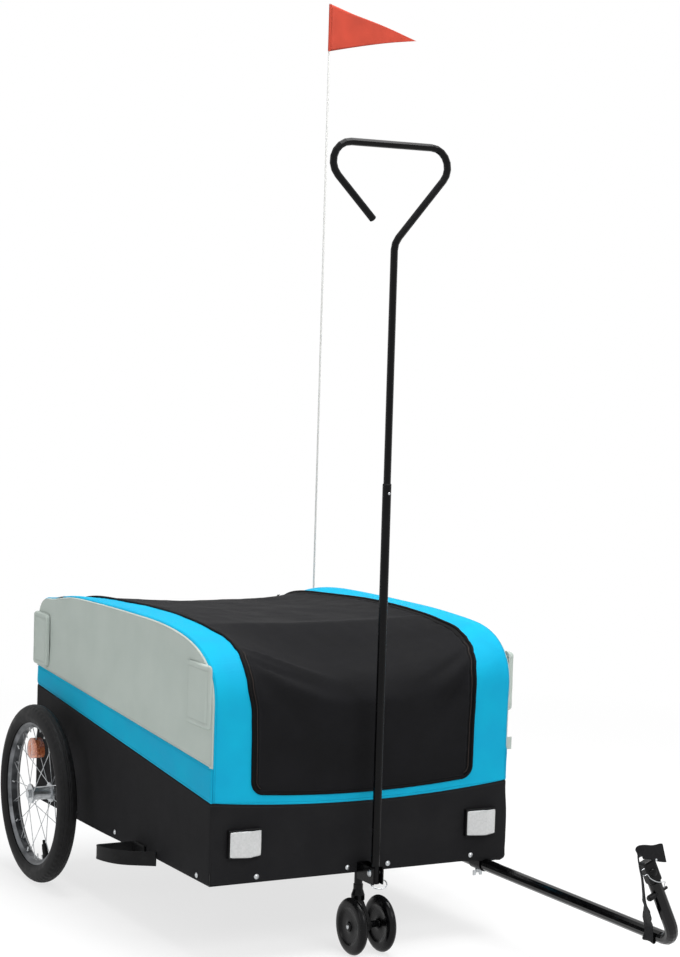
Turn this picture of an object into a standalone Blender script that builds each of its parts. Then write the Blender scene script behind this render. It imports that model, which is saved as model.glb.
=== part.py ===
"""Two-wheeled bike cargo trailer with a fabric body, a front castor, a walking handle,
a side tow bar and a safety flag.

The trailer's own frame has X across it, Y along it with the towing end at -Y, and Z up
from the floor. X is 0 in the body's middle plane and Y is 0 on its front face.
"""
import math

import bmesh
import bpy
from mathutils import Matrix, Vector

# Clearances, and how far a cutter runs past what it cuts
GAP = 0.0003
SEAM_GAP = 0.0006
CUT_PAST = 0.020

# Place of the trailer's own frame, so that the middle of its box is at the origin
TRAILER_X = -0.0820
TRAILER_Y = -0.1533

# Body outline
BODY_WIDTH = 0.690
BODY_LENGTH = 0.948
BODY_BOTTOM = 0.162
CREST_HEIGHT = 0.656
FABRIC = 0.0016
FRONT_BEND_BASE = 0.520
FRONT_BEND_PULL = 0.105
FRONT_BEND_LEAN = 0.120
FRONT_BEND_LENGTH = 0.360
REAR_BEND_BASE = 0.520
REAR_BEND_LEAN = 0.098
REAR_BEND_DROP = 0.004
REAR_BEND_LENGTH = 0.448
BEND_STEPS = 9

# Colour seams
FRONT_SEAM_MIDDLE = 0.309
FRONT_SEAM_RISE = 0.019
SIDE_SEAM_FRONT = 0.326
SIDE_SEAM_REAR = 0.424

# Steel frame
RAIL_SIZE = 0.025
RAIL_WALL = 0.0015
HOOP_RADIUS = 0.008
CROSSBAR_RADIUS = 0.006
FRONT_CROSSBAR_HEIGHT = 0.322
REAR_CROSSBAR_HEIGHT = 0.585
REAR_CROSSBAR_DEPTH = 0.030
FLOOR_THICKNESS = 0.006
FLOOR_LAP = 0.008

# Cover
COVER_BOTTOM = 0.334
BAND_WIDTH_FRONT = 0.0925
BAND_WIDTH_TOP = 0.065
COVER_WIDENS_FROM = 0.480
COVER_WIDENS_TO = 0.600
COVER_REAR_EDGE = 0.600
COVER_THICKNESS = 0.003
COVER_PROUD = 0.0015
COVER_SAG_TOP = 0.014
COVER_SAG_FRONT = 0.005
COVER_FOLD_DEPTH = 0.0035
COVER_FOLDS = 12
COVER_FOLD_PLACE = 0.28
COVER_FOLD_SPREAD = 0.09
COVER_COLUMNS = 18
COVER_FRONT_ROWS = (COVER_BOTTOM, 0.375, 0.420, 0.455, COVER_WIDENS_FROM)

# Side flaps and the flag
FLAP_THICKNESS = 0.008
FLAP_EDGE = 0.0025
FLAP_BOTTOM = 0.471
FRONT_FLAP_START = 0.003
FRONT_FLAP_END = 0.125
FRONT_FLAP_TOP = 0.597
REAR_FLAP_LENGTH = 0.075
REAR_FLAP_OVERHANG = 0.010
REAR_FLAP_TOP = 0.590
POLE_RADIUS = 0.0023
POLE_BOTTOM = 0.500
POLE_TOP = 2.050
POLE_INSET = 0.056
FLAG_HOIST = 0.114
FLAG_LENGTH = 0.250
FLAG_TIP_DROP = 0.067
FLAG_THICKNESS = 0.0012

# Front reflectors
REFLECTOR_WIDTH = 0.071
REFLECTOR_HEIGHT = 0.052
REFLECTOR_DEPTH = 0.008
REFLECTOR_EDGE = 0.003
REFLECTOR_INSET = 0.0705
REFLECTOR_Z = 0.2445

# Side bumpers
BUMPER_THICKNESS = 0.003
BUMPER_HEIGHT = 0.030
BUMPER_BOTTOM = 0.148
BUMPER_REACH = 0.090
BUMPER_START = 0.262
BUMPER_END = 0.361
BUMPER_TAB = 0.022
BUMPER_SHOULDER = (0.045, 0.016)
BUMPER_NOSE = (0.016, 0.042)
BUMPER_BEND_RADIUS = 0.0045

# Road wheels
WHEEL_RADIUS = 0.200
WHEEL_STANDOFF = 0.054
WHEEL_INSET = 0.159
TYRE_SECTION = 0.0225
RIM_RADIUS = 0.160
RIM_HALF_WIDTH = 0.013
RIM_INNER_RADIUS = 0.1497
RIM_WELL_HALF_WIDTH = 0.007
RIM_FLANGE_RADIUS = 0.156
WHEEL_SIDES = 48
TYRE_RING_POINTS = 9
HUB_INNER_END = 0.0325
HUB_OUTER_END = 0.0185
HUB_BARREL_RADIUS = 0.015
FLANGE_RADIUS = 0.022
FLANGE_THICKNESS = 0.004
SPOKE_HOLE_RADIUS = 0.019
SPOKE_RADIUS = 0.0009
SPOKES_PER_FLANGE = 10
SPOKE_STAGGER = 0.0012
SPOKE_RIM_SPREAD = 0.003
AXLE_RADIUS = 0.006
AXLE_COLLAR_RADIUS = 0.010
AXLE_NUT_RADIUS = 0.0095
AXLE_NUT_LENGTH = 0.006
BRACKET_THICKNESS = 0.004
BRACKET_WIDTH = 0.056
BRACKET_BOTTOM = 0.1635
BRACKET_TOP = 0.224
WHEEL_REFLECTOR_INNER = 0.083
WHEEL_REFLECTOR_OUTER = 0.121
WHEEL_REFLECTOR_HALF_LENGTH = 0.029
WHEEL_REFLECTOR_BOW = 0.004
WHEEL_REFLECTOR_ARC = 17
WHEEL_REFLECTOR_THICKNESS = 0.008

# Castor
CASTOR_WHEEL_RADIUS = 0.058
CASTOR_WHEEL_PLANE = 0.033
CASTOR_WHEEL_HALF_WIDTH = 0.0095
CASTOR_TRAIL = 0.037
CASTOR_STEM_RADIUS = 0.0085
CASTOR_STEM_INSERT = 0.021
CASTOR_COLLAR_RADIUS = 0.010
CASTOR_COLLAR_TOP = 0.134
CASTOR_COLLAR_BOTTOM = 0.124
CASTOR_FLARE_RADIUS = 0.014
CASTOR_FLARE_BOTTOM = 0.112
CASTOR_FLARE_DEPTH = 0.010
CASTOR_WEB_HALF_WIDTH = 0.006
CASTOR_WEB_END_RADIUS = 0.013
CASTOR_WEB_INSET = 0.001
CASTOR_BOSS_RADIUS = 0.007
CASTOR_AXLE_RADIUS = 0.003
CASTOR_AXLE_HEAD_RADIUS = 0.0048
CASTOR_AXLE_HEAD_LENGTH = 0.002
CASTOR_AXLE_HEAD_CROWN = 0.0005

# Walking handle
HANDLE_Y = -0.0527
HANDLE_PIVOT_HEIGHT = 0.172
HANDLE_FOOT = 0.150
HANDLE_JOINT_HEIGHT = 0.955
HANDLE_INSERT = 0.055
LOWER_TUBE_RADIUS = 0.009
UPPER_TUBE_RADIUS = 0.0075
TUBE_WALL = 0.0012
GRIP_BEND_HEIGHT = 1.436
GRIP_TOP_HEIGHT = 1.6285
GRIP_RIGHT = 0.162
GRIP_LEFT = -0.198
GRIP_END_X = -0.051
GRIP_END_HEIGHT = 1.481
GRIP_BEND_RADIUS = 0.039
BUTTON_HEIGHT = 0.939
BUTTON_RADIUS = 0.0027
BUTTON_STICKS_OUT = 0.0025
BUTTON_FLANGE_DROP = 0.0023
BUTTON_FLANGE_RADIUS = 0.0035
BUTTON_STEP = 0.0012
CLEVIS_THICKNESS = 0.003
CLEVIS_REACH = 0.066
CLEVIS_BOTTOM = 0.150
CLEVIS_TOP = 0.184
HANDLE_PIN_RADIUS = 0.004
HANDLE_PIN_HEAD_RADIUS = 0.0075
HANDLE_PIN_HEAD_LENGTH = 0.0035
HANDLE_PIN_HEAD_CROWN = 0.0025
HANDLE_PIN_WASHER_RADIUS = 0.0065
HANDLE_PIN_WASHER_LENGTH = 0.002

# Tow bar and hitch
BAR_RADIUS = 0.0127
BAR_WALL = 0.0017
BAR_SIDES = 12
BAR_INSET = 0.044
BAR_REAR_END = 0.420
ELBOW_Y = -0.6513
ELBOW_RADIUS = 0.038
UPRIGHT_LENGTH = 0.127
UPRIGHT_LEAN_IN = 0.430
UPRIGHT_LEAN_BACK = 0.082
CLAMP_WALL = 0.002
CLAMP_FLANGE = 0.011
CLAMP_START = 0.006
CLAMP_LENGTH = 0.042
SOCKET_START = 0.120
SOCKET_LENGTH = 0.040
SCREW_RADIUS = 0.003
SCREW_Y = 0.035
SCREW_NECK_RADIUS = 0.0055
SCREW_NECK_LENGTH = 0.007
WING_SPAN = 0.022
WING_HEIGHT = 0.011
WING_WIDTH = 0.006
WING_THICKNESS = 0.0025
WING_DROP = 0.0025
WING_NOTCH = (0.004, 0.001)
SHANK_DEPTH = 0.042
SHANK_IN_BLOCK = 0.004
SHANK_NECK_RADIUS = 0.0035
HITCH_PIN_RADIUS = 0.003
HITCH_PIN_HEIGHT = 0.108
HITCH_PIN_LEFT = 0.0145
HITCH_PIN_RIGHT = 0.018
HITCH_KNOB_RADIUS = 0.006
HITCH_KNOB_LENGTH = 0.015
HITCH_KNOB_CROWN = 0.003
HITCH_PIN_TIP = (0.002, 0.001)
COUPLER_WIDTH = 0.027
COUPLER_DEPTH = 0.022
COUPLER_HEIGHT = 0.045
COUPLER_EDGE = 0.004
STRAP_WIDTH = 0.024
STRAP_THICKNESS = 0.0018
STRAP_LOOP_BEHIND = 0.0833
STRAP_LOOP_ANGLES = range(135, 420, 22)

# Worked out from the values above
INSIDE_FABRIC = FABRIC + GAP
COVER_HALF_WIDTH_FRONT = BODY_WIDTH / 2 - BAND_WIDTH_FRONT
COVER_HALF_WIDTH_TOP = BODY_WIDTH / 2 - BAND_WIDTH_TOP
REFLECTOR_X = BODY_WIDTH / 2 - REFLECTOR_INSET
WHEEL_PLANE = BODY_WIDTH / 2 + WHEEL_STANDOFF
WHEEL_Y = BODY_LENGTH - WHEEL_INSET
BAR_X = BODY_WIDTH / 2 - BAR_INSET
RAIL_OUTER_X = BODY_WIDTH / 2 - INSIDE_FABRIC
RAIL_TOP = BODY_BOTTOM + RAIL_SIZE
RAIL_INNER_X = RAIL_OUTER_X - RAIL_SIZE
HOOP_DEPTH = INSIDE_FABRIC + HOOP_RADIUS
HOOP_X = BODY_WIDTH / 2 - HOOP_DEPTH
OUTSIDE_X = BODY_WIDTH / 2 + GAP
FRONT_RAIL_Y = INSIDE_FABRIC + RAIL_SIZE / 2
BAR_Z = BODY_BOTTOM - GAP - BAR_RADIUS
POLE_X = OUTSIDE_X + FLAP_THICKNESS / 2
POLE_Y = BODY_LENGTH - POLE_INSET
REAR_FLAP_START = BODY_LENGTH - REAR_FLAP_LENGTH
REAR_FLAP_END = BODY_LENGTH + REAR_FLAP_OVERHANG
CASTOR_Y = FRONT_RAIL_Y
BRACKET_FACE_X = OUTSIDE_X + BRACKET_THICKNESS
HANDLE_PIN_HALF_LENGTH = LOWER_TUBE_RADIUS + GAP + CLEVIS_THICKNESS + GAP
UPRIGHT_AXIS = Vector((-UPRIGHT_LEAN_IN, UPRIGHT_LEAN_BACK, 1)).normalized()
ELBOW = Vector((BAR_X, ELBOW_Y, BAR_Z))

COLOURS = {
    "black_fabric": ("242424", 0.85, 0.0),
    "cover_fabric": ("1E1E20", 0.80, 0.0),
    "blue_fabric": ("1AA3DC", 0.75, 0.0),
    "grey_fabric": ("A5ADA8", 0.80, 0.0),
    "black_steel": ("0E0E10", 0.30, 0.0),
    "bright_steel": ("C8C8CA", 0.25, 1.0),
    "black_plastic": ("17181A", 0.45, 0.0),
    "rim_steel": ("5A5D60", 0.35, 1.0),
    "tyre_rubber": ("1B1B1C", 0.80, 0.0),
    "reflector_clear": ("D6D6D4", 0.15, 0.0),
    "reflector_amber": ("C8662E", 0.20, 0.0),
    "flag_red": ("D2442F", 0.75, 0.0),
    "pole_white": ("EDEDEC", 0.40, 0.0),
    "floor_grey": ("3A3B3D", 0.80, 0.0),
}


# Scene, materials and placing

def clear_scene():
    for item in list(bpy.data.objects):
        bpy.data.objects.remove(item, do_unlink=True)


def new_collection(name):
    collection = bpy.data.collections.new(name)
    bpy.context.scene.collection.children.link(collection)
    return collection


def linear(channel):
    if channel <= 0.04045:
        return channel / 12.92
    return ((channel + 0.055) / 1.055) ** 2.4


def principled(name):
    """A Principled material of the named colour, made once."""
    found = bpy.data.materials.get(name)
    if found:
        return found
    code, roughness, metallic = COLOURS[name]
    rgb = [linear(int(code[i:i + 2], 16) / 255) for i in (0, 2, 4)]
    material = bpy.data.materials.new(name)
    material.use_nodes = True
    shader = material.node_tree.nodes["Principled BSDF"]
    shader.inputs["Base Color"].default_value = (*rgb, 1)
    shader.inputs["Roughness"].default_value = roughness
    shader.inputs["Metallic"].default_value = metallic
    material.diffuse_color = (*rgb, 1)
    return material


clear_scene()
PARTS = new_collection("bike_cargo_trailer")
CUTTERS = new_collection("cutters")
ROOT = bpy.data.objects.new("trailer_frame", None)
ROOT.location = (TRAILER_X, TRAILER_Y, 0)
PARTS.objects.link(ROOT)


def new_empty(name, place, axis=None):
    """An empty on a joint's axis, with its Z along any axis given and its X near the trailer's."""
    empty = bpy.data.objects.new(name, None)
    empty.location = place
    if axis is not None:
        across = (Vector((1, 0, 0)) - axis * axis.x).normalized()
        empty.rotation_euler = Matrix((across, axis.cross(across), axis)).transposed().to_euler()
    empty.parent = ROOT
    PARTS.objects.link(empty)
    return empty


def add(name, data, material, place=(0, 0, 0), parent=None):
    """A named object of the trailer, in its parent's frame."""
    item = bpy.data.objects.new(name, data)
    item.location = place
    item.parent = parent or ROOT
    item.data.materials.clear()
    item.data.materials.append(principled(material))
    PARTS.objects.link(item)
    return item


def add_cutter(name, data, place=(0, 0, 0), parent=None):
    item = bpy.data.objects.new(name, data)
    item.location = place
    item.parent = parent or ROOT
    item.hide_render = True
    item.display_type = "WIRE"
    CUTTERS.objects.link(item)
    return item


def to_cutters(item):
    """Hides a shape that is only used to build another."""
    PARTS.objects.unlink(item)
    CUTTERS.objects.link(item)
    item.hide_render = True
    item.display_type = "WIRE"
    return item


def boolean(target, other, operation):
    modifier = target.modifiers.new(other.name, "BOOLEAN")
    modifier.operation = operation
    modifier.solver = "EXACT"
    modifier.object = other


def bevel(item, width, segments=2):
    modifier = item.modifiers.new("rounded_edges", "BEVEL")
    modifier.width = width
    modifier.segments = segments
    modifier.limit_method = "ANGLE"
    modifier.angle_limit = math.radians(40)


def solidify(item, thickness):
    """Thickness to the inner side of an open surface."""
    modifier = item.modifiers.new("wall", "SOLIDIFY")
    modifier.thickness = thickness
    modifier.offset = -1
    modifier.use_even_offset = True


# Shapes

def mesh_from(bm, name, smooth=True):
    mesh = bpy.data.meshes.new(name)
    bm.to_mesh(mesh)
    bm.free()
    if smooth:
        mesh.shade_smooth()
        mesh.set_sharp_from_angle(angle=math.radians(40))
    return mesh


def box_mesh(name, low, high):
    bm = bmesh.new()
    bmesh.ops.create_cube(bm, size=1)
    size = Vector(high) - Vector(low)
    middle = (Vector(high) + Vector(low)) / 2
    bmesh.ops.scale(bm, vec=size, verts=bm.verts)
    bmesh.ops.translate(bm, vec=middle, verts=bm.verts)
    return mesh_from(bm, name, smooth=False)


def add_rod(bm, start, end, radius, sides, end_radius=None):
    """A capped cylinder or cone between two points."""
    start, end = Vector(start), Vector(end)
    turn = (end - start).to_track_quat("Z", "Y").to_matrix().to_4x4()
    bmesh.ops.create_cone(
        bm, cap_ends=True, segments=sides, radius1=radius,
        radius2=radius if end_radius is None else end_radius,
        depth=(end - start).length, matrix=Matrix.Translation((start + end) / 2) @ turn)


def rod_mesh(name, start, end, radius, sides=16, end_radius=None):
    bm = bmesh.new()
    add_rod(bm, start, end, radius, sides, end_radius)
    return mesh_from(bm, name)


AXIS_TURNS = {
    "Z": (0, 0, 0),
    "X": (0, math.radians(-90), math.radians(180)),
    "-X": (0, math.radians(-90), 0),
}


def turned(name, profile, material, sides, place, axis="Z", closed=False, parent=None):
    """A profile of (radius, height) points, top to bottom on its outer side, turned about an axis."""
    bm = bmesh.new()
    points = [bm.verts.new((radius, 0, height)) for radius, height in profile]
    for first, second in zip(points, points[1:]):
        bm.edges.new((first, second))
    if closed:
        bm.edges.new((points[-1], points[0]))
    item = add(name, mesh_from(bm, name, smooth=False), material, place, parent)
    item.rotation_euler = AXIS_TURNS[axis]
    screw = item.modifiers.new("turn", "SCREW")
    screw.steps = sides
    screw.render_steps = sides
    screw.use_merge_vertices = True
    screw.merge_threshold = 0.00001
    screw.use_smooth_shade = True
    return item


def polyline(points, cyclic, flat):
    curve = bpy.data.curves.new("outline", "CURVE")
    curve.dimensions = "2D" if flat else "3D"
    for line in points:
        spline = curve.splines.new("POLY")
        spline.points.add(len(line) - 1)
        for target, point in zip(spline.points, line):
            target.co = (*point, 0, 1) if flat else (*point, 1)
        spline.use_cyclic_u = cyclic
    return curve


PLANES = {
    "XY": Matrix.Identity(4),
    "XZ": Matrix.Rotation(math.radians(90), 4, "X"),
    "YZ": Matrix(((0, 0, 1, 0), (1, 0, 0, 0), (0, 1, 0, 0), (0, 0, 0, 1))),
}


def plate(name, outlines, thickness, plane, middle, material, parent=None):
    """A flat outline, with any holes after it, extruded about its middle plane."""
    curve = polyline(outlines, cyclic=True, flat=True)
    curve.fill_mode = "BOTH"
    curve.extrude = thickness / 2
    item = add(name, curve, material, parent=parent)
    item.matrix_local = Matrix.Translation(middle) @ PLANES[plane]
    return item


def tube(name, points, radius, resolution, material, place=(0, 0, 0), parent=None):
    """A round skin with open ends along points, given from its object's own origin."""
    curve = polyline([points], cyclic=False, flat=False)
    curve.bevel_depth = radius
    curve.bevel_resolution = resolution
    return add(name, curve, material, place, parent)


def as_mesh(item):
    """The same object as a mesh with its loose caps welded."""
    bpy.context.view_layer.update()
    evaluated = item.evaluated_get(bpy.context.evaluated_depsgraph_get())
    mesh = bpy.data.meshes.new_from_object(evaluated)
    bm = bmesh.new()
    bm.from_mesh(mesh)
    bmesh.ops.remove_doubles(bm, verts=bm.verts, dist=0.00001)
    bm.to_mesh(mesh)
    bm.free()
    name = item.name
    parent = item.parent
    matrix = item.matrix_local.copy()
    bpy.data.objects.remove(item, do_unlink=True)
    made = bpy.data.objects.new(name, mesh)
    made.parent = parent
    made.matrix_local = matrix
    PARTS.objects.link(made)
    return made


def surface(name, rows, material, place=(0, 0, 0), thickness=FABRIC, parent=None):
    """A sheet through rows of points, thickened to its inner side."""
    bm = bmesh.new()
    origin = Vector(place)
    grid = [[bm.verts.new(Vector(point) - origin) for point in row] for row in rows]
    for low, high in zip(grid, grid[1:]):
        for i in range(len(low) - 1):
            bm.faces.new((low[i], low[i + 1], high[i + 1], high[i]))
    item = add(name, mesh_from(bm, name), material, place, parent)
    solidify(item, thickness)
    return item


def arc(centre, radius, start, end, steps):
    """Points on a circle, from one angle in degrees to another."""
    angles = [math.radians(start + (end - start) * i / steps) for i in range(steps + 1)]
    return [(centre[0] + radius * math.cos(a), centre[1] + radius * math.sin(a)) for a in angles]


def ring(centre, radius, sides):
    return arc(centre, radius, 0, 360, sides)[:-1]


def rounded_path(corners, radius, step=15):
    """A path through corner points with each inner corner rounded."""
    path = [Vector(corners[0])]
    for before, corner, after in zip(corners, corners[1:], corners[2:]):
        corner = Vector(corner)
        into = (Vector(before) - corner).normalized()
        out = (Vector(after) - corner).normalized()
        opening = into.angle(out)
        middle = corner + (into + out).normalized() * radius / math.sin(opening / 2)
        first = corner + into * radius / math.tan(opening / 2) - middle
        axis = first.cross(corner + out * radius / math.tan(opening / 2) - middle)
        turn = math.pi - opening
        steps = max(2, round(math.degrees(turn) / step))
        for i in range(steps + 1):
            path.append(middle + Matrix.Rotation(turn * i / steps, 3, axis) @ first)
    path.append(Vector(corners[-1]))
    return path


def strip_outline(path, thickness):
    """The outline of a bent strip of even thickness about a flat path."""
    left, right = [], []
    for i, point in enumerate(path):
        ahead = Vector(path[min(i + 1, len(path) - 1)]) - Vector(point)
        behind = Vector(point) - Vector(path[max(i - 1, 0)])
        along = (ahead.normalized() + behind.normalized()).normalized()
        side = Vector((-along.y, along.x))
        reach = thickness / 2
        if 0 < i < len(path) - 1:
            reach = reach / max(0.3, abs(side.dot(Vector((-behind.y, behind.x)).normalized())))
        left.append(tuple(Vector(point) + side * reach))
        right.append(tuple(Vector(point) - side * reach))
    return left + right[::-1]


# Body profile: the side view of the fabric's outer face, as (Y, Z) points

def bezier(points, steps):
    a, b, c, d = (Vector(point) for point in points)
    made = []
    for i in range(steps + 1):
        t = i / steps
        s = 1 - t
        made.append(a * s ** 3 + b * 3 * s * s * t + c * 3 * s * t * t + d * t ** 3)
    return made


def body_profile():
    """From the foot of the front bend, over the crest, to the foot of the rear bend."""
    front = bezier([(0, FRONT_BEND_BASE), (0, FRONT_BEND_BASE + FRONT_BEND_PULL),
                    (FRONT_BEND_LEAN, CREST_HEIGHT), (FRONT_BEND_LENGTH, CREST_HEIGHT)], BEND_STEPS)
    rear_start = BODY_LENGTH - REAR_BEND_LENGTH
    rear = bezier([(rear_start, CREST_HEIGHT), (BODY_LENGTH - REAR_BEND_LEAN, CREST_HEIGHT - REAR_BEND_DROP),
                   (BODY_LENGTH, CREST_HEIGHT), (BODY_LENGTH, REAR_BEND_BASE)], BEND_STEPS + 3)
    middle = Vector(((FRONT_BEND_LENGTH + rear_start) / 2, CREST_HEIGHT))
    return front + [middle] + rear


def inward(path, depth):
    """The path moved into the body by a depth."""
    made = []
    for i, point in enumerate(path):
        along = path[min(i + 1, len(path) - 1)] - path[max(i - 1, 0)]
        if i == 0:
            along = Vector((0, 1))
        if i == len(path) - 1:
            along = Vector((0, -1))
        along.normalize()
        made.append(point + Vector((along.y, -along.x)) * depth)
    return made


PROFILE = body_profile()


def split_profile(height):
    """The profile up to the rear point at a height, and the rest of it from there."""
    last = max(i for i, point in enumerate(PROFILE) if point.y > height)
    above, below = PROFILE[last], PROFILE[last + 1]
    share = (above.y - height) / (above.y - below.y)
    cut = above.lerp(below, share)
    return PROFILE[:last + 1] + [cut], [cut] + PROFILE[last + 1:]


def front_seam(x):
    return FRONT_SEAM_MIDDLE + FRONT_SEAM_RISE * (2 * x / BODY_WIDTH) ** 2


def front_seam_points(half, rise=0):
    """Points along the front seam from -half to half across."""
    steps = 8
    across = [half * (2 * i / steps - 1) for i in range(steps + 1)]
    return [(x, front_seam(x) + rise) for x in across]


def side_seam(y):
    return SIDE_SEAM_FRONT + (SIDE_SEAM_REAR - SIDE_SEAM_FRONT) * y / BODY_LENGTH


def smooth_step(value, low, high):
    share = min(1, max(0, (value - low) / (high - low)))
    return share * share * (3 - 2 * share)


def cover_half_width(index, point):
    """The cover is narrower on the front face than over the top."""
    widening = smooth_step(point.y, COVER_WIDENS_FROM, COVER_WIDENS_TO)
    if index > BEND_STEPS:
        widening = 1
    return COVER_HALF_WIDTH_FRONT + (COVER_HALF_WIDTH_TOP - COVER_HALF_WIDTH_FRONT) * widening


# Frame

def frame_rails():
    half = RAIL_SIZE / 2
    hole = half - RAIL_WALL
    square = [(-half, -half), (half, -half), (half, half), (-half, half)]
    bore = [(-hole, -hole), (hole, -hole), (hole, hole), (-hole, hole)]
    height = BODY_BOTTOM + half
    side_length = BODY_LENGTH - 2 * INSIDE_FABRIC
    for name, side in (("rail_left", -1), ("rail_right", 1)):
        middle = (side * (RAIL_OUTER_X - half), BODY_LENGTH / 2, height)
        plate(name, [square, bore], side_length, "XZ", middle, "black_steel")
    cross_length = 2 * (RAIL_INNER_X - GAP)
    rear_y = BODY_LENGTH - FRONT_RAIL_Y
    plate("rail_rear", [square, bore], cross_length, "YZ", (0, rear_y, height), "black_steel")
    middle = (0, FRONT_RAIL_Y, height)
    front = as_mesh(plate("rail_front", [square, bore], cross_length, "YZ", middle, "black_steel"))
    stem_hole = rod_mesh("castor_stem_hole", (0, 0, -RAIL_SIZE), (0, 0, 0), CASTOR_STEM_RADIUS + GAP, 24)
    boolean(front, add_cutter("castor_stem_hole", stem_hole, (0, CASTOR_Y, height)), "DIFFERENCE")


def floor_board():
    half_width = RAIL_INNER_X + FLOOR_LAP
    low = (-half_width, INSIDE_FABRIC, RAIL_TOP + GAP)
    high = (half_width, BODY_LENGTH - INSIDE_FABRIC, RAIL_TOP + GAP + FLOOR_THICKNESS)
    add("floor_board", box_mesh("floor_board", low, high), "floor_grey")


def hoops():
    path = inward(PROFILE, HOOP_DEPTH)
    foot = RAIL_TOP + GAP
    points = [(0, path[0].x, foot)]
    points += [(0, point.x, point.y) for point in path]
    points.append((0, path[-1].x, foot))
    for name, side in (("hoop_left", -1), ("hoop_right", 1)):
        hoop = tube(name, points, HOOP_RADIUS, 2, "black_steel", (side * HOOP_X, 0, 0))
        hoop.data.use_fill_caps = True


def crossbars():
    reach = HOOP_X - HOOP_RADIUS - GAP
    rear_y = BODY_LENGTH - REAR_CROSSBAR_DEPTH
    places = (("crossbar_front", HOOP_DEPTH, FRONT_CROSSBAR_HEIGHT),
              ("crossbar_rear", rear_y, REAR_CROSSBAR_HEIGHT))
    for name, y, height in places:
        mesh = rod_mesh(name, (-reach, 0, 0), (reach, 0, 0), CROSSBAR_RADIUS, 12)
        add(name, mesh, "black_steel", (0, y, height))


# Fabric body

def skirts():
    half = BODY_WIDTH / 2
    front = [(-half, BODY_BOTTOM), (half, BODY_BOTTOM)] + front_seam_points(half)[::-1]
    rear = [(-half, BODY_BOTTOM), (half, BODY_BOTTOM), (half, SIDE_SEAM_REAR), (-half, SIDE_SEAM_REAR)]
    plate("skirt_front", [front], FABRIC, "XZ", (0, FABRIC / 2, 0), "black_fabric")
    plate("skirt_rear", [rear], FABRIC, "XZ", (0, BODY_LENGTH - FABRIC / 2, 0), "black_fabric")
    near, far = INSIDE_FABRIC, BODY_LENGTH - INSIDE_FABRIC
    outline = [(near, BODY_BOTTOM), (far, BODY_BOTTOM), (far, side_seam(far)), (near, side_seam(near))]
    for name, side in (("skirt_left", -1), ("skirt_right", 1)):
        plate(name, [outline], FABRIC, "YZ", (side * (BODY_WIDTH - FABRIC) / 2, 0, 0), "black_fabric")


def sides():
    path = [tuple(point) for point in inward(PROFILE, INSIDE_FABRIC)]
    near, far = path[0][0], path[-1][0]
    outline = [(near, side_seam(near) + GAP)] + path + [(far, side_seam(far) + GAP)]
    for name, side in (("side_left", -1), ("side_right", 1)):
        plate(name, [outline[::-1]], FABRIC, "YZ", (side * (BODY_WIDTH - FABRIC) / 2, 0, 0), "grey_fabric")


def bands():
    """Blue bands over the two hoops, from the front seam over the crest to the rear seam."""
    half = BODY_WIDTH / 2
    columns = 3
    for name, side in (("band_left", -1), ("band_right", 1)):
        rows = []
        foot = [None] * (columns + 1)
        for i, point in enumerate(PROFILE):
            inner = cover_half_width(i, point) + SEAM_GAP
            across = [side * (inner + (half - inner) * j / columns) for j in range(columns + 1)]
            if i == 0:
                foot = across
                rows.append([(x, 0, front_seam(x) + GAP) for x in foot])
                rows.append([(x, 0, COVER_WIDENS_FROM) for x in foot])
            rows.append([(x, point.x, point.y) for x in across])
        rows.append([(x, BODY_LENGTH, SIDE_SEAM_REAR + GAP) for x in across])
        if side < 0:
            rows = [row[::-1] for row in rows]
        surface(name, rows, "blue_fabric", (side * half, 0, 0))


def front_strip():
    half = COVER_HALF_WIDTH_FRONT
    top = COVER_BOTTOM - GAP
    outline = front_seam_points(half, GAP) + [(half, top), (-half, top)]
    plate("front_strip", [outline], FABRIC, "XZ", (0, FABRIC / 2, 0), "blue_fabric")


def rear_panel():
    below = split_profile(COVER_REAR_EDGE)[1]
    half = COVER_HALF_WIDTH_TOP
    rows = [[(-half, point.x, point.y), (half, point.x, point.y)] for point in below]
    rows[0] = [(x, y, z - GAP) for x, y, z in rows[0]]
    rows.append([(-half, BODY_LENGTH, SIDE_SEAM_REAR + GAP), (half, BODY_LENGTH, SIDE_SEAM_REAR + GAP)])
    surface("rear_panel", rows, "blue_fabric", (0, BODY_LENGTH, SIDE_SEAM_REAR))


def cover_sag(u, share):
    """How far the cover hangs in, from its place across (-1 to 1) and along (0 at the front foot to 1)."""
    across = (1 - u ** 4) ** 2
    over_top = math.sin(math.pi * max(0, share - 0.25) / 0.75)
    depth = COVER_SAG_FRONT + (COVER_SAG_TOP - COVER_SAG_FRONT) * over_top
    ends = min(1, share / 0.05) * min(1, (1 - share) / 0.06)
    folds = math.exp(-((share - COVER_FOLD_PLACE) / COVER_FOLD_SPREAD) ** 2)
    ripple = math.sin(2 * math.pi * COVER_FOLDS * (share + 0.03 * u)) * COVER_FOLD_DEPTH * folds
    return (depth * across + ripple * (1 - u * u)) * ends


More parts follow.
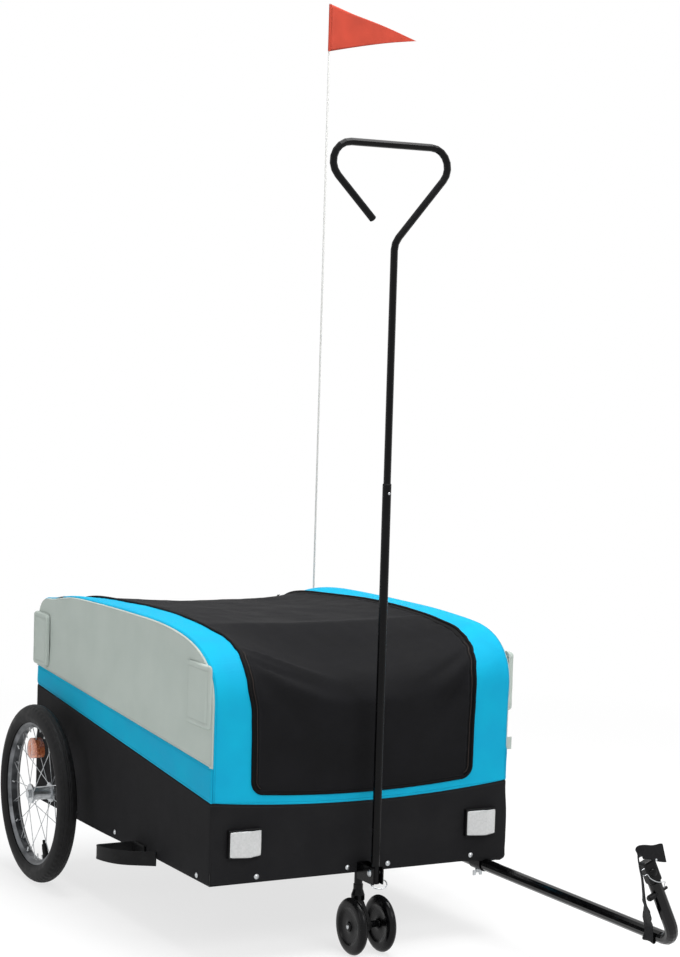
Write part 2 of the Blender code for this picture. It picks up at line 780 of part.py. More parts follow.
def cover():
    """The zipped cover, with its sag between the hoops and its soft folds at the front bend."""
    path = [Vector((0, height)) for height in COVER_FRONT_ROWS] + split_profile(COVER_REAR_EDGE)[0]
    outer = inward(path, -COVER_PROUD)
    tilt = (path[-1] - path[-2]).normalized()
    outer[-1] = path[-1] + Vector((-tilt.y, tilt.x)) * COVER_PROUD - tilt * SEAM_GAP
    inner = inward(path, 0.5)
    length = [0]
    for before, after in zip(path, path[1:]):
        length.append(length[-1] + (after - before).length)
    rows = []
    for i, point in enumerate(path):
        half = cover_half_width(i - len(COVER_FRONT_ROWS), point)
        into = (inner[i] - point).normalized()
        if i == len(path) - 1:
            into = Vector((tilt.y, -tilt.x))
        row = []
        for j in range(COVER_COLUMNS + 1):
            u = math.sin(math.pi / 2 * (2 * j / COVER_COLUMNS - 1))
            place = outer[i] + into * cover_sag(u, length[i] / length[-1])
            row.append((u * half, place.x, place.y))
        rows.append(row)
    hinge = (0, path[-1].x, path[-1].y)
    surface("cover", rows, "cover_fabric", hinge, COVER_THICKNESS)


def flaps():
    for side_name, side in (("left", -1), ("right", 1)):
        spans = (("flap_front", FRONT_FLAP_START, FRONT_FLAP_END, FRONT_FLAP_TOP),
                 ("flap_rear", REAR_FLAP_START, REAR_FLAP_END, REAR_FLAP_TOP))
        for kind, start, end, top in spans:
            name = kind + "_" + side_name
            near, far = sorted((side * OUTSIDE_X, side * (OUTSIDE_X + FLAP_THICKNESS)))
            flap = add(name, box_mesh(name, (near, start, FLAP_BOTTOM), (far, end, top)), "grey_fabric")
            bevel(flap, FLAP_EDGE)
            if name == "flap_rear_right":
                mouth = (0, 0, top - POLE_BOTTOM + CUT_PAST)
                hole = rod_mesh("flag_pole_hole", (0, 0, 0), mouth, POLE_RADIUS + GAP, 12)
                cutter = add_cutter("flag_pole_hole", hole, (POLE_X, POLE_Y, POLE_BOTTOM - GAP))
                boolean(flap, cutter, "DIFFERENCE")


def front_reflectors():
    half = Vector((REFLECTOR_WIDTH / 2, REFLECTOR_DEPTH / 2, REFLECTOR_HEIGHT / 2))
    for name, side in (("reflector_front_left", -1), ("reflector_front_right", 1)):
        place = (side * REFLECTOR_X, -GAP - REFLECTOR_DEPTH / 2, REFLECTOR_Z)
        bevel(add(name, box_mesh(name, -half, half), "reflector_clear", place), REFLECTOR_EDGE)


def flag():
    sides = 10
    pole = rod_mesh("flag_pole", (0, 0, POLE_BOTTOM), (0, 0, POLE_TOP), POLE_RADIUS, sides)
    add("flag_pole", pole, "pole_white", (POLE_X, POLE_Y, 0))
    start = POLE_RADIUS + GAP
    hoist = POLE_TOP - FLAG_HOIST
    outline = [(start, hoist), (FLAG_LENGTH, POLE_TOP - FLAG_TIP_DROP), (start, POLE_TOP)]
    plate("flag", [outline], FLAG_THICKNESS, "XZ", (POLE_X, POLE_Y, 0), "flag_red")


# Side bumpers

def bumpers():
    skin = OUTSIDE_X + BUMPER_THICKNESS / 2
    nose = OUTSIDE_X + BUMPER_REACH
    corners = [(skin, BUMPER_START - BUMPER_TAB, 0), (skin, BUMPER_START, 0),
               (skin + BUMPER_SHOULDER[0], BUMPER_START + BUMPER_SHOULDER[1], 0),
               (nose - BUMPER_NOSE[0], BUMPER_START + BUMPER_NOSE[1], 0),
               (nose, BUMPER_END, 0), (skin, BUMPER_END, 0), (skin, BUMPER_END + BUMPER_TAB, 0)]
    bend = rounded_path(corners, BUMPER_BEND_RADIUS, 45)
    for name, side in (("bumper_left", -1), ("bumper_right", 1)):
        path = [(side * point.x, point.y) for point in bend]
        middle = (0, 0, BUMPER_BOTTOM + BUMPER_HEIGHT / 2)
        plate(name, [strip_outline(path, BUMPER_THICKNESS)], BUMPER_HEIGHT, "XY", middle, "black_plastic")


# Road wheels

def tyre_profile():
    middle = WHEEL_RADIUS - TYRE_SECTION
    opening = math.degrees(math.acos((RIM_RADIUS + GAP - middle) / TYRE_SECTION))
    return arc((middle, 0), TYRE_SECTION, opening, -opening, TYRE_RING_POINTS - 1)


def rim_profile():
    half = [(RIM_RADIUS, RIM_HALF_WIDTH), (RIM_FLANGE_RADIUS, RIM_HALF_WIDTH),
            (RIM_INNER_RADIUS, RIM_WELL_HALF_WIDTH)]
    return half[:1] + [(radius, -height) for radius, height in half] + half[:0:-1]


def hub_profile():
    """Heights run outwards, away from the trailer's middle plane."""
    bore = AXLE_RADIUS + GAP
    top, bottom = HUB_OUTER_END, -HUB_INNER_END
    return [(bore, top), (FLANGE_RADIUS, top), (FLANGE_RADIUS, top - FLANGE_THICKNESS),
            (HUB_BARREL_RADIUS, top - FLANGE_THICKNESS), (HUB_BARREL_RADIUS, bottom + FLANGE_THICKNESS),
            (FLANGE_RADIUS, bottom + FLANGE_THICKNESS), (FLANGE_RADIUS, bottom), (bore, bottom)]


def spokes_mesh():
    """Crossed spokes from both flanges, about Z, with Z outwards."""
    bm = bmesh.new()
    step = 2 * math.pi / SPOKES_PER_FLANGE
    rim_radius = RIM_INNER_RADIUS * math.cos(math.pi / WHEEL_SIDES) - SEAM_GAP
    flanges = ((HUB_OUTER_END - FLANGE_THICKNESS / 2, 1, 0),
               (-HUB_INNER_END + FLANGE_THICKNESS / 2, -1, step / 2))
    for height, side, phase in flanges:
        for i in range(SPOKES_PER_FLANGE):
            lead = 1 if i % 2 == 0 else -1
            hole = phase + i * step
            end = hole + lead * step
            start_point = (SPOKE_HOLE_RADIUS * math.cos(hole), SPOKE_HOLE_RADIUS * math.sin(hole),
                           height + lead * SPOKE_STAGGER)
            end_point = (rim_radius * math.cos(end), rim_radius * math.sin(end), side * SPOKE_RIM_SPREAD)
            add_rod(bm, start_point, end_point, SPOKE_RADIUS, 6)
    return mesh_from(bm, "spokes")


def wheel_reflector_outline():
    outer = arc((0, 0), WHEEL_REFLECTOR_OUTER, 90 - WHEEL_REFLECTOR_ARC, 90 + WHEEL_REFLECTOR_ARC, 6)
    half = WHEEL_REFLECTOR_HALF_LENGTH
    raised = WHEEL_REFLECTOR_INNER + WHEEL_REFLECTOR_BOW
    return outer + [(-half, raised), (0, WHEEL_REFLECTOR_INNER), (half, raised)]


def road_wheels():
    spokes = spokes_mesh()
    for side_name, side in (("left", -1), ("right", 1)):
        place = (side * WHEEL_PLANE, WHEEL_Y, WHEEL_RADIUS)
        axis = "X" if side > 0 else "-X"
        turned("tyre_" + side_name, tyre_profile(), "tyre_rubber", WHEEL_SIDES, place, axis, closed=True)
        turned("rim_" + side_name, rim_profile(), "rim_steel", WHEEL_SIDES, place, axis, closed=True)
        hub = turned("hub_" + side_name, hub_profile(), "bright_steel", 24, place, axis, closed=True)
        lacing = add_cutter("spokes_" + side_name, spokes, place)
        lacing.rotation_euler = hub.rotation_euler
        boolean(hub, lacing, "UNION")
        plate("wheel_reflector_" + side_name, [wheel_reflector_outline()], WHEEL_REFLECTOR_THICKNESS, "YZ",
              place, "reflector_amber")
        wheel_mounting(side_name, side, axis)


def wheel_mounting(side_name, side, axis):
    """The bracket on the side rail and the stub axle with its collar and nut."""
    near, far = sorted((side * OUTSIDE_X, side * BRACKET_FACE_X))
    name = "axle_bracket_" + side_name
    low = (near, WHEEL_Y - BRACKET_WIDTH / 2, BRACKET_BOTTOM)
    high = (far, WHEEL_Y + BRACKET_WIDTH / 2, BRACKET_TOP)
    bracket = add(name, box_mesh(name, low, high), "black_steel")
    hole = rod_mesh(name + "_hole", (-CUT_PAST, 0, 0), (CUT_PAST, 0, 0), AXLE_RADIUS + GAP, 24)
    cutter = add_cutter(name + "_hole", hole, (side * BRACKET_FACE_X, WHEEL_Y, WHEEL_RADIUS))
    boolean(bracket, cutter, "DIFFERENCE")
    hub_inner = WHEEL_PLANE - HUB_INNER_END - GAP
    hub_outer = WHEEL_PLANE + HUB_OUTER_END + GAP
    collar = BRACKET_FACE_X + GAP
    profile = [(0, hub_outer + AXLE_NUT_LENGTH), (AXLE_NUT_RADIUS, hub_outer + AXLE_NUT_LENGTH),
               (AXLE_NUT_RADIUS, hub_outer), (AXLE_RADIUS, hub_outer), (AXLE_RADIUS, hub_inner),
               (AXLE_COLLAR_RADIUS, hub_inner), (AXLE_COLLAR_RADIUS, collar), (AXLE_RADIUS, collar),
               (AXLE_RADIUS, OUTSIDE_X), (0, OUTSIDE_X)]
    turned("axle_" + side_name, profile, "bright_steel", 16, (0, WHEEL_Y, WHEEL_RADIUS), axis)


# Castor

def hull_outline(first, first_radius, second, second_radius, steps=8):
    """Two circles of an outline joined by their common tangents."""
    first, second = Vector(first), Vector(second)
    along = second - first
    heading = math.degrees(math.atan2(along.y, along.x))
    lean = math.degrees(math.acos((first_radius - second_radius) / along.length))
    back = arc(first, first_radius, heading + lean, heading + 360 - lean, steps)
    front = arc(second, second_radius, heading - lean, heading + lean, steps)
    return back + front


def castor():
    swivel = new_empty("castor_swivel_axis", (0, CASTOR_Y, 0))
    top = BODY_BOTTOM + CASTOR_STEM_INSERT
    foot = CASTOR_FLARE_BOTTOM - CASTOR_FLARE_DEPTH
    profile = [(0, top), (CASTOR_STEM_RADIUS, top), (CASTOR_STEM_RADIUS, CASTOR_COLLAR_TOP),
               (CASTOR_COLLAR_RADIUS, CASTOR_COLLAR_TOP), (CASTOR_COLLAR_RADIUS, CASTOR_COLLAR_BOTTOM),
               (CASTOR_FLARE_RADIUS, CASTOR_FLARE_BOTTOM), (CASTOR_FLARE_RADIUS, foot), (0, foot)]
    fork = turned("castor_fork", profile, "black_plastic", 24, (0, 0, 0), parent=swivel)
    web_top = (0, CASTOR_FLARE_BOTTOM - CASTOR_FLARE_RADIUS)
    outline = hull_outline(web_top, CASTOR_FLARE_RADIUS - CASTOR_WEB_INSET,
                           (-CASTOR_TRAIL, CASTOR_WHEEL_RADIUS), CASTOR_WEB_END_RADIUS)
    width = 2 * CASTOR_WEB_HALF_WIDTH
    web = as_mesh(plate("castor_web", [outline], width, "YZ", (0, 0, 0), "black_plastic", swivel))
    boolean(fork, to_cutters(web), "UNION")
    boss_reach = CASTOR_WHEEL_PLANE - CASTOR_WHEEL_HALF_WIDTH - GAP
    boss = rod_mesh("castor_boss", (-boss_reach, 0, 0), (boss_reach, 0, 0), CASTOR_BOSS_RADIUS, 16)
    axle_place = (0, -CASTOR_TRAIL, CASTOR_WHEEL_RADIUS)
    boolean(fork, add_cutter("castor_boss", boss, axle_place, swivel), "UNION")
    bore_reach = boss_reach + CUT_PAST
    bore = rod_mesh("castor_bore", (-bore_reach, 0, 0), (bore_reach, 0, 0), CASTOR_AXLE_RADIUS + GAP, 16)
    boolean(fork, add_cutter("castor_bore", bore, axle_place, swivel), "DIFFERENCE")
    castor_axle(axle_place, swivel)
    for name, side in (("castor_wheel_left", -1), ("castor_wheel_right", 1)):
        place = (side * CASTOR_WHEEL_PLANE, -CASTOR_TRAIL, CASTOR_WHEEL_RADIUS)
        turned(name, castor_wheel_profile(), "black_plastic", 24, place, "X", closed=True, parent=swivel)


def castor_axle(place, swivel):
    face = CASTOR_WHEEL_PLANE + CASTOR_WHEEL_HALF_WIDTH + GAP
    top = face + CASTOR_AXLE_HEAD_LENGTH
    crown = CASTOR_AXLE_HEAD_CROWN
    half = [(0, top), (CASTOR_AXLE_HEAD_RADIUS * 0.7, top - crown), (CASTOR_AXLE_HEAD_RADIUS, face + crown),
            (CASTOR_AXLE_HEAD_RADIUS, face), (CASTOR_AXLE_RADIUS, face)]
    profile = half + [(radius, -height) for radius, height in half[::-1]]
    turned("castor_axle", profile, "bright_steel", 16, place, "X", parent=swivel)


def castor_wheel_profile():
    bore = CASTOR_AXLE_RADIUS + GAP
    half_width, radius = CASTOR_WHEEL_HALF_WIDTH, CASTOR_WHEEL_RADIUS
    shares = ((0.18, 1), (0.55, 0.92), (0.80, 0.72), (0.94, 0.42), (1, 0.08))
    dome = [(bore, half_width)] + [(out * radius, up * half_width) for out, up in shares]
    return dome + [(reach, -height) for reach, height in dome[::-1]]


# Walking handle

def handle_bracket():
    inner = LOWER_TUBE_RADIUS + GAP
    outer = inner + CLEVIS_THICKNESS
    base, face = -GAP, -GAP - CLEVIS_THICKNESS
    tip = -CLEVIS_REACH
    outline = [(-outer, base), (-outer, tip), (-inner, tip), (-inner, face), (inner, face), (inner, tip),
               (outer, tip), (outer, base)]
    middle = (0, 0, (CLEVIS_BOTTOM + CLEVIS_TOP) / 2)
    bracket = plate("handle_bracket", [outline], CLEVIS_TOP - CLEVIS_BOTTOM, "XY", middle, "black_steel")
    bracket = as_mesh(bracket)
    boolean(bracket, pivot_hole("handle_bracket_hole"), "DIFFERENCE")


def pivot_hole(name, parent=None):
    reach = HANDLE_PIN_HALF_LENGTH + CUT_PAST
    hole = rod_mesh(name, (-reach, 0, 0), (reach, 0, 0), HANDLE_PIN_RADIUS + GAP, 16)
    place = (0, 0, 0) if parent else (0, HANDLE_Y, HANDLE_PIVOT_HEIGHT)
    return add_cutter(name, hole, place, parent)


def handle():
    pivot = new_empty("handle_tilt_axis", (0, HANDLE_Y, HANDLE_PIVOT_HEIGHT))
    foot = HANDLE_FOOT - HANDLE_PIVOT_HEIGHT
    joint = HANDLE_JOINT_HEIGHT - HANDLE_PIVOT_HEIGHT
    outer = ring((0, 0), LOWER_TUBE_RADIUS, 16)
    inner = ring((0, 0), LOWER_TUBE_RADIUS - TUBE_WALL, 16)
    lower = plate("handle_tube_lower", [outer, inner], joint - foot, "XY", (0, 0, (joint + foot) / 2),
                  "black_steel", pivot)
    lower = as_mesh(lower)
    boolean(lower, pivot_hole("handle_tube_pivot_hole", pivot), "DIFFERENCE")
    rise = -HANDLE_PIVOT_HEIGHT
    corners = [(0, 0, joint - HANDLE_INSERT), (0, 0, GRIP_BEND_HEIGHT + rise),
               (GRIP_RIGHT, 0, GRIP_TOP_HEIGHT + rise), (GRIP_LEFT, 0, GRIP_TOP_HEIGHT + rise),
               (GRIP_END_X, 0, GRIP_END_HEIGHT + rise)]
    path = rounded_path(corners, GRIP_BEND_RADIUS, 18)
    upper = as_mesh(tube("handle_tube_upper", path, UPPER_TUBE_RADIUS, 3, "black_steel", parent=pivot))
    solidify(upper, TUBE_WALL)
    height = BUTTON_HEIGHT - HANDLE_PIVOT_HEIGHT
    for tube_object in (lower, upper):
        name = tube_object.name + "_button_hole"
        hole = rod_mesh(name, (0, 0, 0), (0, -CUT_PAST, 0), BUTTON_RADIUS + GAP, 12)
        cutter = add_cutter(name, hole, (0, TUBE_WALL - UPPER_TUBE_RADIUS / 2, height), pivot)
        boolean(tube_object, cutter, "DIFFERENCE")
    handle_button(height, pivot)


def handle_button(height, pivot):
    """A stepped button pushed out through both tubes, with its flange inside the inner one."""
    tip = LOWER_TUBE_RADIUS + BUTTON_STICKS_OUT
    flange_face = UPPER_TUBE_RADIUS - TUBE_WALL - BUTTON_FLANGE_DROP
    profile = [(0, tip), (BUTTON_RADIUS * 0.6, tip - BUTTON_STEP / 6), (BUTTON_RADIUS, tip - BUTTON_STEP),
               (BUTTON_RADIUS, flange_face), (BUTTON_FLANGE_RADIUS, flange_face),
               (BUTTON_FLANGE_RADIUS, flange_face - BUTTON_STEP), (0, flange_face - BUTTON_STEP)]
    button = turned("handle_button", profile, "bright_steel", 16, (0, 0, height), parent=pivot)
    button.rotation_euler = (math.radians(90), 0, 0)


def handle_pin():
    """A clevis pin with its head on the left and a washer on the right."""
    face = HANDLE_PIN_HALF_LENGTH
    top = face + HANDLE_PIN_HEAD_LENGTH
    cap = face + HANDLE_PIN_WASHER_LENGTH
    profile = [(0, top), (HANDLE_PIN_HEAD_RADIUS * 0.6, top),
               (HANDLE_PIN_HEAD_RADIUS, top - HANDLE_PIN_HEAD_CROWN), (HANDLE_PIN_HEAD_RADIUS, face),
               (HANDLE_PIN_RADIUS, face), (HANDLE_PIN_RADIUS, -face), (HANDLE_PIN_WASHER_RADIUS, -face),
               (HANDLE_PIN_WASHER_RADIUS, -cap), (0, -cap)]
    turned("handle_pin", profile, "bright_steel", 16, (0, HANDLE_Y, HANDLE_PIVOT_HEIGHT), "-X")


# Tow bar and hitch

def saddle(name, start, length, flange_ends):
    """A bent plate under the frame that holds the bar, with a flange out to each given X."""
    inner = BAR_RADIUS + GAP
    outer = inner + CLAMP_WALL
    top = BODY_BOTTOM - GAP - BAR_Z
    under = top - CLAMP_WALL
    inside = arc((0, 0), inner, 180, 360, 14)
    outside = arc((0, 0), outer, 0, -180, 14)
    right_end, left_end = flange_ends
    outline = [(-inner, top)] + inside + [(inner, top), (right_end, top), (right_end, under), (outer, under)]
    outline += outside
    outline += [(-outer, under), (left_end, under), (left_end, top)]
    middle = (BAR_X, start + length / 2, BAR_Z)
    return plate(name, [outline[::-1]], length, "XZ", middle, "black_steel")


def bar_holders():
    reach = BAR_RADIUS + GAP + CLAMP_WALL + CLAMP_FLANGE
    under_rail = RAIL_OUTER_X - BAR_X
    clamp = as_mesh(saddle("tow_bar_clamp", CLAMP_START, CLAMP_LENGTH, (reach, -reach)))
    hole = rod_mesh("wing_screw_hole", (0, 0, -2 * BAR_RADIUS), (0, 0, 0), SCREW_RADIUS + GAP, 16)
    boolean(clamp, add_cutter("wing_screw_hole", hole, (BAR_X, SCREW_Y, BAR_Z)), "DIFFERENCE")
    saddle("tow_bar_socket", SOCKET_START, SOCKET_LENGTH, (under_rail, -reach))


def wing_screw():
    axis = new_empty("wing_screw_axis", (BAR_X, SCREW_Y, BAR_Z))
    tip = -BAR_RADIUS - GAP
    collar = -BAR_RADIUS - 2 * GAP - CLAMP_WALL
    foot = collar - SCREW_NECK_LENGTH
    profile = [(0, tip), (SCREW_RADIUS, tip), (SCREW_RADIUS, collar), (SCREW_NECK_RADIUS, collar),
               (SCREW_NECK_RADIUS * 0.8, foot), (0, foot)]
    screw = turned("wing_screw", profile, "black_steel", 16, (0, 0, 0), parent=axis)
    half = WING_SPAN / 2
    top = collar - WING_DROP
    low = top - WING_HEIGHT
    notch = (WING_NOTCH[0], top - WING_NOTCH[1])
    right = [(SCREW_RADIUS, foot), (half - WING_WIDTH, low), (half, low), (half, top), notch]
    outline = right + [(-x, z) for x, z in right[::-1]]
    wings = as_mesh(plate("wings", [outline], WING_THICKNESS, "XZ", (0, 0, 0), "black_steel", axis))
    boolean(screw, to_cutters(wings), "UNION")


def tow_bar(hitch_frame):
    top = ELBOW + UPRIGHT_AXIS * UPRIGHT_LENGTH
    corners = [(BAR_X, BAR_REAR_END, BAR_Z), ELBOW, top]
    path = [point - ELBOW for point in rounded_path(corners, ELBOW_RADIUS, 12)]
    bar = as_mesh(tube("tow_bar", path, BAR_RADIUS, BAR_SIDES // 2 - 2, "black_steel", place=ELBOW))
    solidify(bar, BAR_WALL)
    reach = BAR_RADIUS + CUT_PAST
    hole = rod_mesh("hitch_pin_hole", (-reach, 0, 0), (reach, 0, 0), HITCH_PIN_RADIUS + GAP, 16)
    cutter = add_cutter("hitch_pin_hole", hole, (0, hitch_pin_offset(), HITCH_PIN_HEIGHT), hitch_frame)
    boolean(bar, cutter, "DIFFERENCE")


def hitch_pin_offset():
    """The pin passes beside the shank's neck, on the front side."""
    return -(SHANK_NECK_RADIUS + GAP + HITCH_PIN_RADIUS)


def hitch_coupler(hitch_frame):
    """A shank that turns in the upright, grooved for the pin, under the coupling block."""
    top = UPRIGHT_LENGTH + GAP
    shank = (BAR_RADIUS - BAR_WALL) * math.cos(math.pi / BAR_SIDES) - GAP
    groove = HITCH_PIN_RADIUS + SEAM_GAP
    foot = top - SHANK_DEPTH
    groove_top, groove_foot = HITCH_PIN_HEIGHT + groove, HITCH_PIN_HEIGHT - groove
    profile = [(0, top + SHANK_IN_BLOCK), (shank, top + SHANK_IN_BLOCK), (shank, groove_top),
               (SHANK_NECK_RADIUS, groove_top), (SHANK_NECK_RADIUS, groove_foot),
               (shank, groove_foot), (shank, foot), (0, foot)]
    coupler = turned("hitch_coupler", profile, "black_plastic", 16, (0, 0, 0), parent=hitch_frame)
    half = Vector((COUPLER_WIDTH / 2, COUPLER_DEPTH / 2, COUPLER_HEIGHT / 2))
    block = add_cutter("coupler_block", box_mesh("coupler_block", -half, half),
                       (0, 0, top + COUPLER_HEIGHT / 2), hitch_frame)
    bevel(block, COUPLER_EDGE)
    boolean(coupler, block, "UNION")


def hitch_pin(hitch_frame):
    knob = HITCH_PIN_LEFT + HITCH_KNOB_LENGTH
    tip_radius, tip_length = HITCH_PIN_TIP
    profile = [(0, knob), (HITCH_KNOB_RADIUS * 0.7, knob), (HITCH_KNOB_RADIUS, knob - HITCH_KNOB_CROWN),
               (HITCH_KNOB_RADIUS, HITCH_PIN_LEFT), (HITCH_PIN_RADIUS, HITCH_PIN_LEFT),
               (HITCH_PIN_RADIUS, tip_length - HITCH_PIN_RIGHT), (tip_radius, -HITCH_PIN_RIGHT),
               (0, -HITCH_PIN_RIGHT)]
    turned("hitch_pin", profile, "black_plastic", 16, (0, hitch_pin_offset(), HITCH_PIN_HEIGHT), "-X",
           parent=hitch_frame)


STRAP_ROUTE = (
    # place from the bar's elbow, then the direction of the strap's width
    ((-0.020, -0.0012, 0.1670), (0, 0, 1)),
    ((-0.051, -0.0017, 0.1700), (0, 0, 1)),
    ((-0.079, -0.0057, 0.1740), (0, 0.1, 1)),
    ((-0.097, -0.0147, 0.1710), (-0.3, 0.5, 0.8)),
    ((-0.102, -0.0197, 0.1530), (-0.3, 0.95, 0.2)),
    ((-0.099, -0.0197, 0.1230), (0.48, 0.88, 0)),
    ((-0.093, -0.0197, 0.0860), (0.48, 0.88, 0)),
    ((-0.084, -0.0167, 0.0550), (0.4, 0.92, 0)),
    ((-0.063, 0.0163, 0.0350), (0.1, 0.98, 0.3)),
    ((-0.033, 0.0613, 0.0230), (0, 1, 0.1)),
)


def safety_strap():
    """Webbing from the coupler, hanging and turned on edge, to a loop round the bar."""
    centres = [ELBOW + Vector(place) for place, width in STRAP_ROUTE]
    widths = [Vector(width).normalized() for place, width in STRAP_ROUTE]
    half_step = math.radians(STRAP_LOOP_ANGLES.step / 2)
    reach = (BAR_RADIUS + SEAM_GAP) / math.cos(half_step) + STRAP_THICKNESS
    bar_middle = ELBOW + Vector((0, STRAP_LOOP_BEHIND, 0))
    for angle in STRAP_LOOP_ANGLES:
        turn = math.radians(angle)
        centres.append(bar_middle + Vector((math.cos(turn), 0, math.sin(turn))) * reach)
        widths.append(Vector((0, 1, 0)))
    rows = []
    for centre, width in zip(centres, widths):
        rows.append([centre - width * STRAP_WIDTH / 2, centre, centre + width * STRAP_WIDTH / 2])
    surface("safety_strap", rows, "black_fabric", centres[0], STRAP_THICKNESS)


def build():
    frame_rails()
    floor_board()
    hoops()
    crossbars()
    skirts()
    sides()
    bands()
    front_strip()
    rear_panel()
    cover()
    flaps()
    front_reflectors()
    flag()
    bumpers()
    road_wheels()
    castor()
    handle_bracket()
    handle()
    handle_pin()
    bar_holders()
    wing_screw()
    hitch_frame = new_empty("hitch_swivel_axis", ELBOW, UPRIGHT_AXIS)
    tow_bar(hitch_frame)
    hitch_coupler(hitch_frame)
    hitch_pin(hitch_frame)
    safety_strap()


build()
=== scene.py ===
"""Looks of the bike cargo trailer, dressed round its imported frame.

Points are in the trailer's own frame, in metres: X across it, Y along it from the front
face with the towing end at -Y, and Z up from the floor.
"""

import math
from bisect import bisect_right

import bmesh
import bpy
from mathutils import Matrix, Vector, noise


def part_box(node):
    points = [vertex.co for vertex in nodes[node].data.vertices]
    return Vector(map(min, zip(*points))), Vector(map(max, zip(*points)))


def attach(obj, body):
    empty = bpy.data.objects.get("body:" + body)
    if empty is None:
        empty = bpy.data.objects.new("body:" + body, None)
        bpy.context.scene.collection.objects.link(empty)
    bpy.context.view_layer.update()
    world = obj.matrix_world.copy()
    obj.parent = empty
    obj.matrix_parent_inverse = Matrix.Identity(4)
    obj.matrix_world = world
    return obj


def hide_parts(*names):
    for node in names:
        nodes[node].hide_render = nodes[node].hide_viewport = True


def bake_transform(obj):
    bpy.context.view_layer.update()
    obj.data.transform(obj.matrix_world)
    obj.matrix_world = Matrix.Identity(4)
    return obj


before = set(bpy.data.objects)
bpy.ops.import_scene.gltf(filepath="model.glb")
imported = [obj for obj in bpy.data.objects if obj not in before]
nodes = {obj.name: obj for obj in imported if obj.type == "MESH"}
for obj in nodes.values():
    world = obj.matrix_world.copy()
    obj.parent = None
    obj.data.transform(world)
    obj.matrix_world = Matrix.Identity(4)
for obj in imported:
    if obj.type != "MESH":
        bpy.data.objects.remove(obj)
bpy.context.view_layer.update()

skirt_low, skirt_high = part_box("skirt_front")
ORIGIN = Vector(((skirt_low.x + skirt_high.x) / 2, skirt_low.y, 0))

# Fabric body
HALF = 0.345
LENGTH = 0.948
BOTTOM = 0.162
CREST = 0.656
CLOTH = 0.0016
CORNER = 0.007
SEAM_ANGLE = math.radians(38)
COVER_REAR_HEIGHT = 0.600
REAR_SEAM = 0.424
GREY_SEAM = (0.396, 0.468)
BLACK_SEAM = (0.326, 0.424)

# Wheels, castor, handle, tow bar and flag
WHEEL = Vector((0.399, 0.789, 0.200))
CASTOR = Vector((0.033, -0.0226, 0.058))
HANDLE_Y = -0.0527
ELBOW = Vector((0.301, -0.6513, 0.149))
UPRIGHT = Vector((-0.430, 0.082, 1)).normalized()
POLE = Vector((0.3493, 0.892, 0))
POLE_RADIUS = 0.0023

SIDES = ((-1, "left"), (1, "right"))


# Colours, nodes and materials

def linear(code):
    """An sRGB hex colour as linear red, green, blue and alpha."""
    channels = [int(code[i:i + 2], 16) / 255 for i in (0, 2, 4)]
    return [c / 12.92 if c <= 0.04045 else ((c + 0.055) / 1.055) ** 2.4 for c in channels] + [1]


def add(tree, kind, sockets, out=0, **settings):
    """Adds a node with its settings, links or sets its sockets, and gives one of its outputs."""
    made = tree.nodes.new("ShaderNode" + kind)
    for name, value in settings.items():
        setattr(made, name, value)
    for name, value in sockets.items():
        if isinstance(value, bpy.types.NodeSocket):
            tree.links.new(value, made.inputs[name])
        else:
            made.inputs[name].default_value = value
    return made.outputs[out]


def begin(name):
    """A new material, its tree and the place of each point on the piece."""
    material = bpy.data.materials.new(name)
    material.use_nodes = True
    tree = material.node_tree
    return material, tree, add(tree, "TexCoord", {}, "Object")


def finish(material, **sockets):
    """Links or sets sockets of the main shader, named with underscores for spaces."""
    shader = material.node_tree.nodes["Principled BSDF"]
    for name, value in sockets.items():
        socket = shader.inputs[name.replace("_", " ")]
        if isinstance(value, bpy.types.NodeSocket):
            material.node_tree.links.new(value, socket)
        else:
            socket.default_value = value
    return material


def wave(tree, value, pitch):
    """A sine of a value in metres that comes round once in each pitch."""
    turns = add(tree, "Math", {0: value, 1: 2 * math.pi / pitch}, operation="MULTIPLY")
    return add(tree, "Math", {0: turns}, operation="SINE")


def plain_weave(tree, place, pitch):
    """A plain weave of a thread pitch in metres, from -3 to 3, on faces of any direction."""
    waves = [wave(tree, add(tree, "SeparateXYZ", {0: place}, axis), pitch) for axis in range(3)]
    height = 0.0
    for i, j in ((0, 1), (1, 2), (0, 2)):
        crossing = add(tree, "Math", {0: waves[i], 1: waves[j]}, operation="MULTIPLY")
        height = add(tree, "Math", {0: crossing, 1: height}, operation="ADD")
    return height


def seam_stitches(tree, place):
    """A row of stitches 5 mm inside a seam, 2.6 mm of thread in each 4 mm: 1 on the thread."""
    edge = add(tree, "Attribute", {}, "Fac", attribute_name="edge")
    off = add(tree, "Math", {0: edge, 1: 0.0052}, operation="SUBTRACT")
    off = add(tree, "Math", {0: off}, operation="ABSOLUTE")
    row = add(tree, "MapRange", {"Value": off, "From Min": 0.0010, "From Max": 0.0005})
    along = add(tree, "VectorMath", {0: place, 1: (1, 1, 1)}, "Value", operation="DOT_PRODUCT")
    dash = add(tree, "MapRange", {"Value": wave(tree, along, 0.004), "From Min": -0.5, "From Max": -0.2})
    return add(tree, "Math", {0: row, 1: dash}, operation="MULTIPLY")


